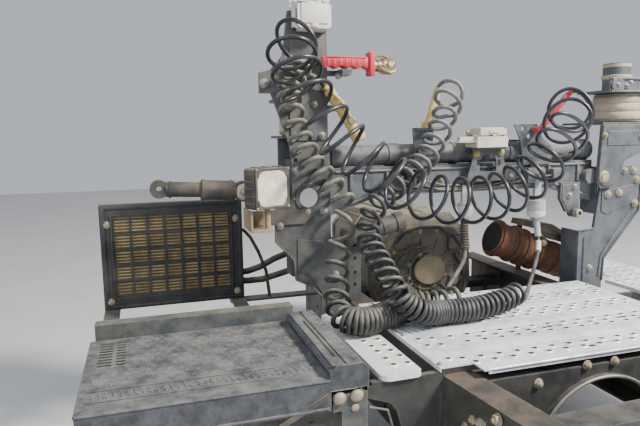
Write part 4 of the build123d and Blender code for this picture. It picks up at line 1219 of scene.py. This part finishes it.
for x, z in ((548, 676), (590, 672), (604, 684)):
    q.bolt((x, 7 if x == 548 else 10, z), BACK, 7, 6, True, 3)
q.done()
q = Part("arm_bush", C, "beige")
q.lathe([(0, 47), (3, 50), (14, 50), (17, 44), (40, 42), (43, 47), (54, 47), (56, 40)], (620, 90, 700), UPZ, 40)
q.done()

# -- hose post and lock cylinder
# near-black discs: painted shade in the post's holes
q = Part("post_holes", C, "dark")
for z in (210, 167, 125, 78, 38):
    q.lathe([(-0.4, 6), (0.6, 6)], (-387, 92, z), BACK, 16)
q.done()
q = Part("cylinder_trim", C, "damper")
cy0, cy1 = Vector((-438, 62, 198)), Vector((-250, 62, 240))
cd = (cy1 - cy0).normalized()
q.lathe([(0, 28), (2, 30.5), (10, 30.5), (12, 28)], cy0 + cd * 4, cd, 30)
q.lathe([(0, 28), (2, 30.5), (8, 30.5), (10, 28)], cy0 + cd * 70, cd, 30)
q.lathe([(0, 28), (2, 30.5), (8, 30.5), (10, 28)], cy0 + cd * 130, cd, 30)
q.lathe([(0, 31), (1.5, 31), (1.5, 22), (0.5, 12), (0.5, 0)], cy0 + cd * 206, cd, 30)
q.done()

# -- port fittings: pale cap, white ball, rings
q = Part("port_cap", C, "pale")
q.lathe([(231, 21), (236, 29), (244, 31.5), (252, 31.5), (254, 28), (262, 27), (265, 30), (276, 30), (281, 25), (284, 0)],
        (252, 30, 0), UPZ, 36)
q.lathe([(243, 12), (248, 20), (258, 25), (270, 27), (282, 25), (292, 18), (297, 8), (298, 0)], (-26, 30, 0), UPZ, 36)
q.done()
q = Part("port_rings", C, "bolt_grey")
q.lathe([(222, 15), (224, 20), (231, 21), (233, 16)], (252, 30, 0), UPZ, 6)
q.lathe([(236, 12), (238, 17), (244, 17), (246, 12)], (-26, 30, 0), UPZ, 6)
q.done()

# -- gearbox rear face
q = Part("gearbox_cover_plate", C, "gearbox_cover")
vs = q.lathe([(-2, 66), (3, 66), (6, 63), (7, 50), (7, 0)], (0, 0, 0), BACK, 44)
for v in vs:
    v.co = Vector((-10 + v.co.x, 295 + v.co.y, 8 + v.co.z * 0.84))
q.done()
gear_bolts = Part("gearbox_bolts", C, "bolt")
for i in range(8):
    a = 2 * math.pi * (i + 0.5) / 8
    gear_bolts.bolt((-14 + 82 * math.cos(a), 310, 5 + 66 * math.sin(a)), BACK, 7, 6)
for i in range(14):
    a = 2 * math.pi * i / 14
    gear_bolts.bolt((-10 + 158 * math.cos(a), 310, 20 + 140 * math.sin(a)), BACK, 7, 7)
q = Part("gearbox_ribs", C, "gearbox")
for i in range(12):
    a = 2 * math.pi * i / 12 + 0.2
    c, s_ = math.cos(a), math.sin(a)
    q.box(-14 + 95 * c - 25, -14 + 95 * c + 45, 303, 311, 5 + 80 * s_ - 4, 5 + 80 * s_ + 4, 2, 2,
          Matrix.Rotation(-a, 3, "Y"), (-14 + 95 * c, 306, 5 + 80 * s_))
q.lathe([(0, 150), (4, 150), (7, 147), (7, 140), (3, 138), (0, 138)], (-12, 311, 18), BACK, 60)
q.lathe([(0, 78), (6, 78), (8, 75), (8, 68), (2, 66), (0, 66)], (-14, 311, 5), BACK, 44)
q.box(-150, -96, 296, 312, 96, 150, 5, 2)
q.box(70, 130, 292, 312, 80, 128, 6, 2)
q.lathe([(0, 26), (22, 26), (26, 22), (26, 0)], (-118, 312, -60), BACK, 28)
q.lathe([(0, 20), (16, 20), (20, 16), (20, 0)], (96, 312, -40), BACK, 28)
q.done()
gear_bolts.done()
q = Part("gearbox_lines", C, "black")
q.sweep([(-150, 300, 118), (-120, 284, 160), (-60, 280, 176), (20, 282, 172), (90, 290, 130), (118, 296, 90)],
        [7] * 6, 10)
q.sweep([(-170, 300, 20), (-140, 286, 70), (-92, 284, 96), (-30, 288, 100)], [5] * 4, 10)
q.sweep([(100, 300, 60), (132, 290, 10), (138, 288, -60), (120, 296, -110)], [8] * 4, 10)
q.done()

# -- exhaust clamps and seams
e0, e1 = Vector((215, 230, 130)), Vector((545, 215, 5))
ed = (e1 - e0).normalized()
q = Part("exhaust_clamps", C, "exhaust")
for a, w in ((40, 4), (62, 4), (104, 5), (152, 5), (214, 6), (262, 22), (310, 5)):
    q.lathe([(0, 61), (1.2, 64.5), (w - 1.2, 64.5), (w, 61)], e0 + ed * a, ed, 40)
for a in (9, 15, 80, 86, 122, 128, 179, 185):
    q.lathe([(0, 69), (0.8, 71.5), (2.2, 71.5), (3, 69)], e0 + ed * a, ed, 40)
q.box(372, 392, 148, 166, 96, 124, 2, 2)
q.done()
q = Part("exhaust_bolts", C, "bolt")
q.rod((382, 140, 110), (382, 190, 112), 4.5)
q.bolt((382, 148, 110), BACK, 8, 8, True, 3)
q.done()
# -- frame: rail bolts, arch edge (a bright bead: painted highlight), rear member
q = Part("rail_nuts", C, "bolt")
for x, yy, zz in ((-382, -376, -151), (-381, -591, -105), (-381, -617, -78), (-380, -643, -72), (-379, -695, -40)):
    q.bolt((x - 3, yy, zz), (-1, 0, 0), 9, 9, True, 5)
for yy in (-300, -240, -60, 0, 60, 300, 420, 540):
    for zz in (-90, -220):
        q.bolt((-400, yy, zz), (-1, 0, 0), 9, 9, True, 4)
        q.bolt((400, yy, zz), (1, 0, 0), 9, 9, True, 4)
q.done()
q = Part("arch_bolts", C, "bolt")
for x, zz in ((-45, -14), (36, -15), (-180, -40), (180, -40)):
    q.bolt((x, -556, zz - 14), BACK, 8, 7, True, 3)
q.done()
# a bright metal bead along the arch edge: painted highlight
q = Part("arch_edge_highlight", C, "bearer")
line = []
for i in range(49):
    a = math.radians(180 - 180 * i / 48)
    line.append((193 * math.cos(a), -568, -252 + 193 * math.sin(a)))
q.sweep(line, [4.0] * len(line), 10)
q.done(60)
q = Part("console_ribs", C, "tower")
q.sweep([(-584, -515, -66), (-540, -515, -80), (-520, -515, -150), (-520, -515, -230)], [3] * 4, 8)
q.done()

# -- hidden sides: gearbox flanges and ribs, pipe mouths, tower backs, cooler back, rail holes
GB = [(-215, 120), (-150, 205), (120, 205), (205, 110), (215, -60), (150, -215), (-150, -215), (-215, -60)]
q = Part("gearbox_flanges", C, "gearbox")
for yy, th, k in ((820, 16, 1.045), (596, 12, 1.04), (404, 14, 1.04)):
    q.plate([(x * k, z * k) for x, z in GB], (0, yy, 0), (1, 0, 0), (0, 0, 1), th, 2.0)
for (x0, z0), (x1, z1) in zip(GB, GB[1:] + GB[:1]):
    for f in (0.3, 0.7):
        x, z = x0 + (x1 - x0) * f, z0 + (z1 - z0) * f
        q.rod((x, 404, z), (x, 806, z), 5.0, 10)
q.lathe([(0, 120), (6, 120), (9, 117), (9, 100), (4, 98), (4, 60), (10, 58), (12, 54), (12, 0)], (-5, 819, 0),
        (0, 1, 0), 48)
q.box(40, 110, 640, 730, 200, 214, 5, 2)
q.box(-120, -40, 480, 560, 200, 212, 4, 2)
q.done()
q = Part("gearbox_flange_bolts", C, "bolt")
for (x0, z0), (x1, z1) in zip(GB, GB[1:] + GB[:1]):
    for f in (0.08, 0.5, 0.92):
        x, z = (x0 + (x1 - x0) * f) * 0.97, (z0 + (z1 - z0) * f) * 0.97
        q.bolt((x, 820, z), (0, 1, 0), 7, 6)
for i in range(10):
    a = 2 * math.pi * i / 10
    q.bolt((-5 + 109 * math.cos(a), 828, 109 * math.sin(a)), (0, 1, 0), 6, 5)
q.done()
# near-black discs: painted shade inside the exhaust and tube mouths
q = Part("pipe_mouths", C, "dark")
q.lathe([(-0.5, 56), (0.8, 56)], e0, -ed, 40)
q.lathe([(-0.5, 56), (0.8, 56)], e1, ed, 40)
q.lathe([(-0.5, 29), (0.8, 29)], (-491, 75, 455), (-1, 0, 0), 32)
q.lathe([(-0.5, 29), (0.8, 29)], (487, 75, 455), (1, 0, 0), 32)
q.done()
q = Part("tower_back_ribs", C, "tower")
q.box(-606, -500, 22, 24.5, 460, 468, 1)
q.box(-606, -500, 22, 24.5, 596, 604, 1)
q.sweep([(-560, 24, 470), (-556, 24, 640), (-552, 24, 840)], [4.0] * 3, 8)
q.done()
q = Part("cooler_back", C, "cooler")
for i in range(7):
    x = -1110 + i * 56
    q.box(x - 3, x + 3, 315, 320, 14, 280, 1.2)
q.lathe([(0, 18), (22, 18), (24, 15), (24, 0)], (-742, 316, 40), (0, 1, 0), 24)
q.lathe([(0, 18), (22, 18), (24, 15), (24, 0)], (-742, 316, 260), (0, 1, 0), 24)
q.done()
# near-black discs: painted shade in the rail holes
q = Part("rail_end_holes", C, "dark")
for yy in (-420, -360, -180, -120, 120, 180, 480, 600):
    for zz in (-60, -150, -250):
        for x, d in ((-400, -1), (400, 1)):
            if not (x < 0 and -720 < yy < -340 and zz > -200):
                q.lathe([(-0.4, 8), (0.5, 8)], (x, yy, zz), (d, 0, 0), 14)
q.done()

# ------------------------------------------------------------------- light
floor_z = CAD_BOX[0][2] - 0.002
bm = bmesh.new()
bmesh.ops.create_grid(bm, x_segments=1, y_segments=1, size=9.0)
mesh = bpy.data.meshes.new("floor")
bm.to_mesh(mesh)
bm.free()
floor = link(bpy.data.objects.new("floor", mesh))
floor.location = (0, 1, floor_z)
fn = Nodes("m_floor")
fcol = fn.mix(fn.ramp(fn.noise(3.0, 4.0, 0.5), 0.3, 0.7), (0.58, 0.58, 0.57), (0.62, 0.62, 0.61))
fn.wire(fcol, fn.bsdf.inputs["Base Color"])
fn.bsdf.inputs["Roughness"].default_value = 0.85
mesh.materials.append(fn.mat)
world = bpy.data.worlds.new("studio")
bpy.context.scene.world = world
world.use_nodes = True
world.node_tree.nodes["Background"].inputs["Color"].default_value = (0.86, 0.9, 1.0, 1.0)
world.node_tree.nodes["Background"].inputs["Strength"].default_value = 0.62


def area(name, loc, target, size, power, colour):
    data = bpy.data.lights.new(name, "AREA")
    data.shape = "SQUARE"
    data.size = size
    data.energy = power
    data.color = colour
    obj = link(bpy.data.objects.new(name, data))
    obj.location = loc
    obj.rotation_euler = (Vector(target) - Vector(loc)).to_track_quat("-Z", "Y").to_euler()


area("key", (2.3, -1.5, 3.5), (-0.1, 0.8, 0.4), 0.7, 540.0, (1.0, 0.95, 0.86))
area("fill", (-3.0, -1.2, 2.4), (-0.3, 0.8, 0.3), 2.5, 55.0, (0.9, 0.95, 1.0))
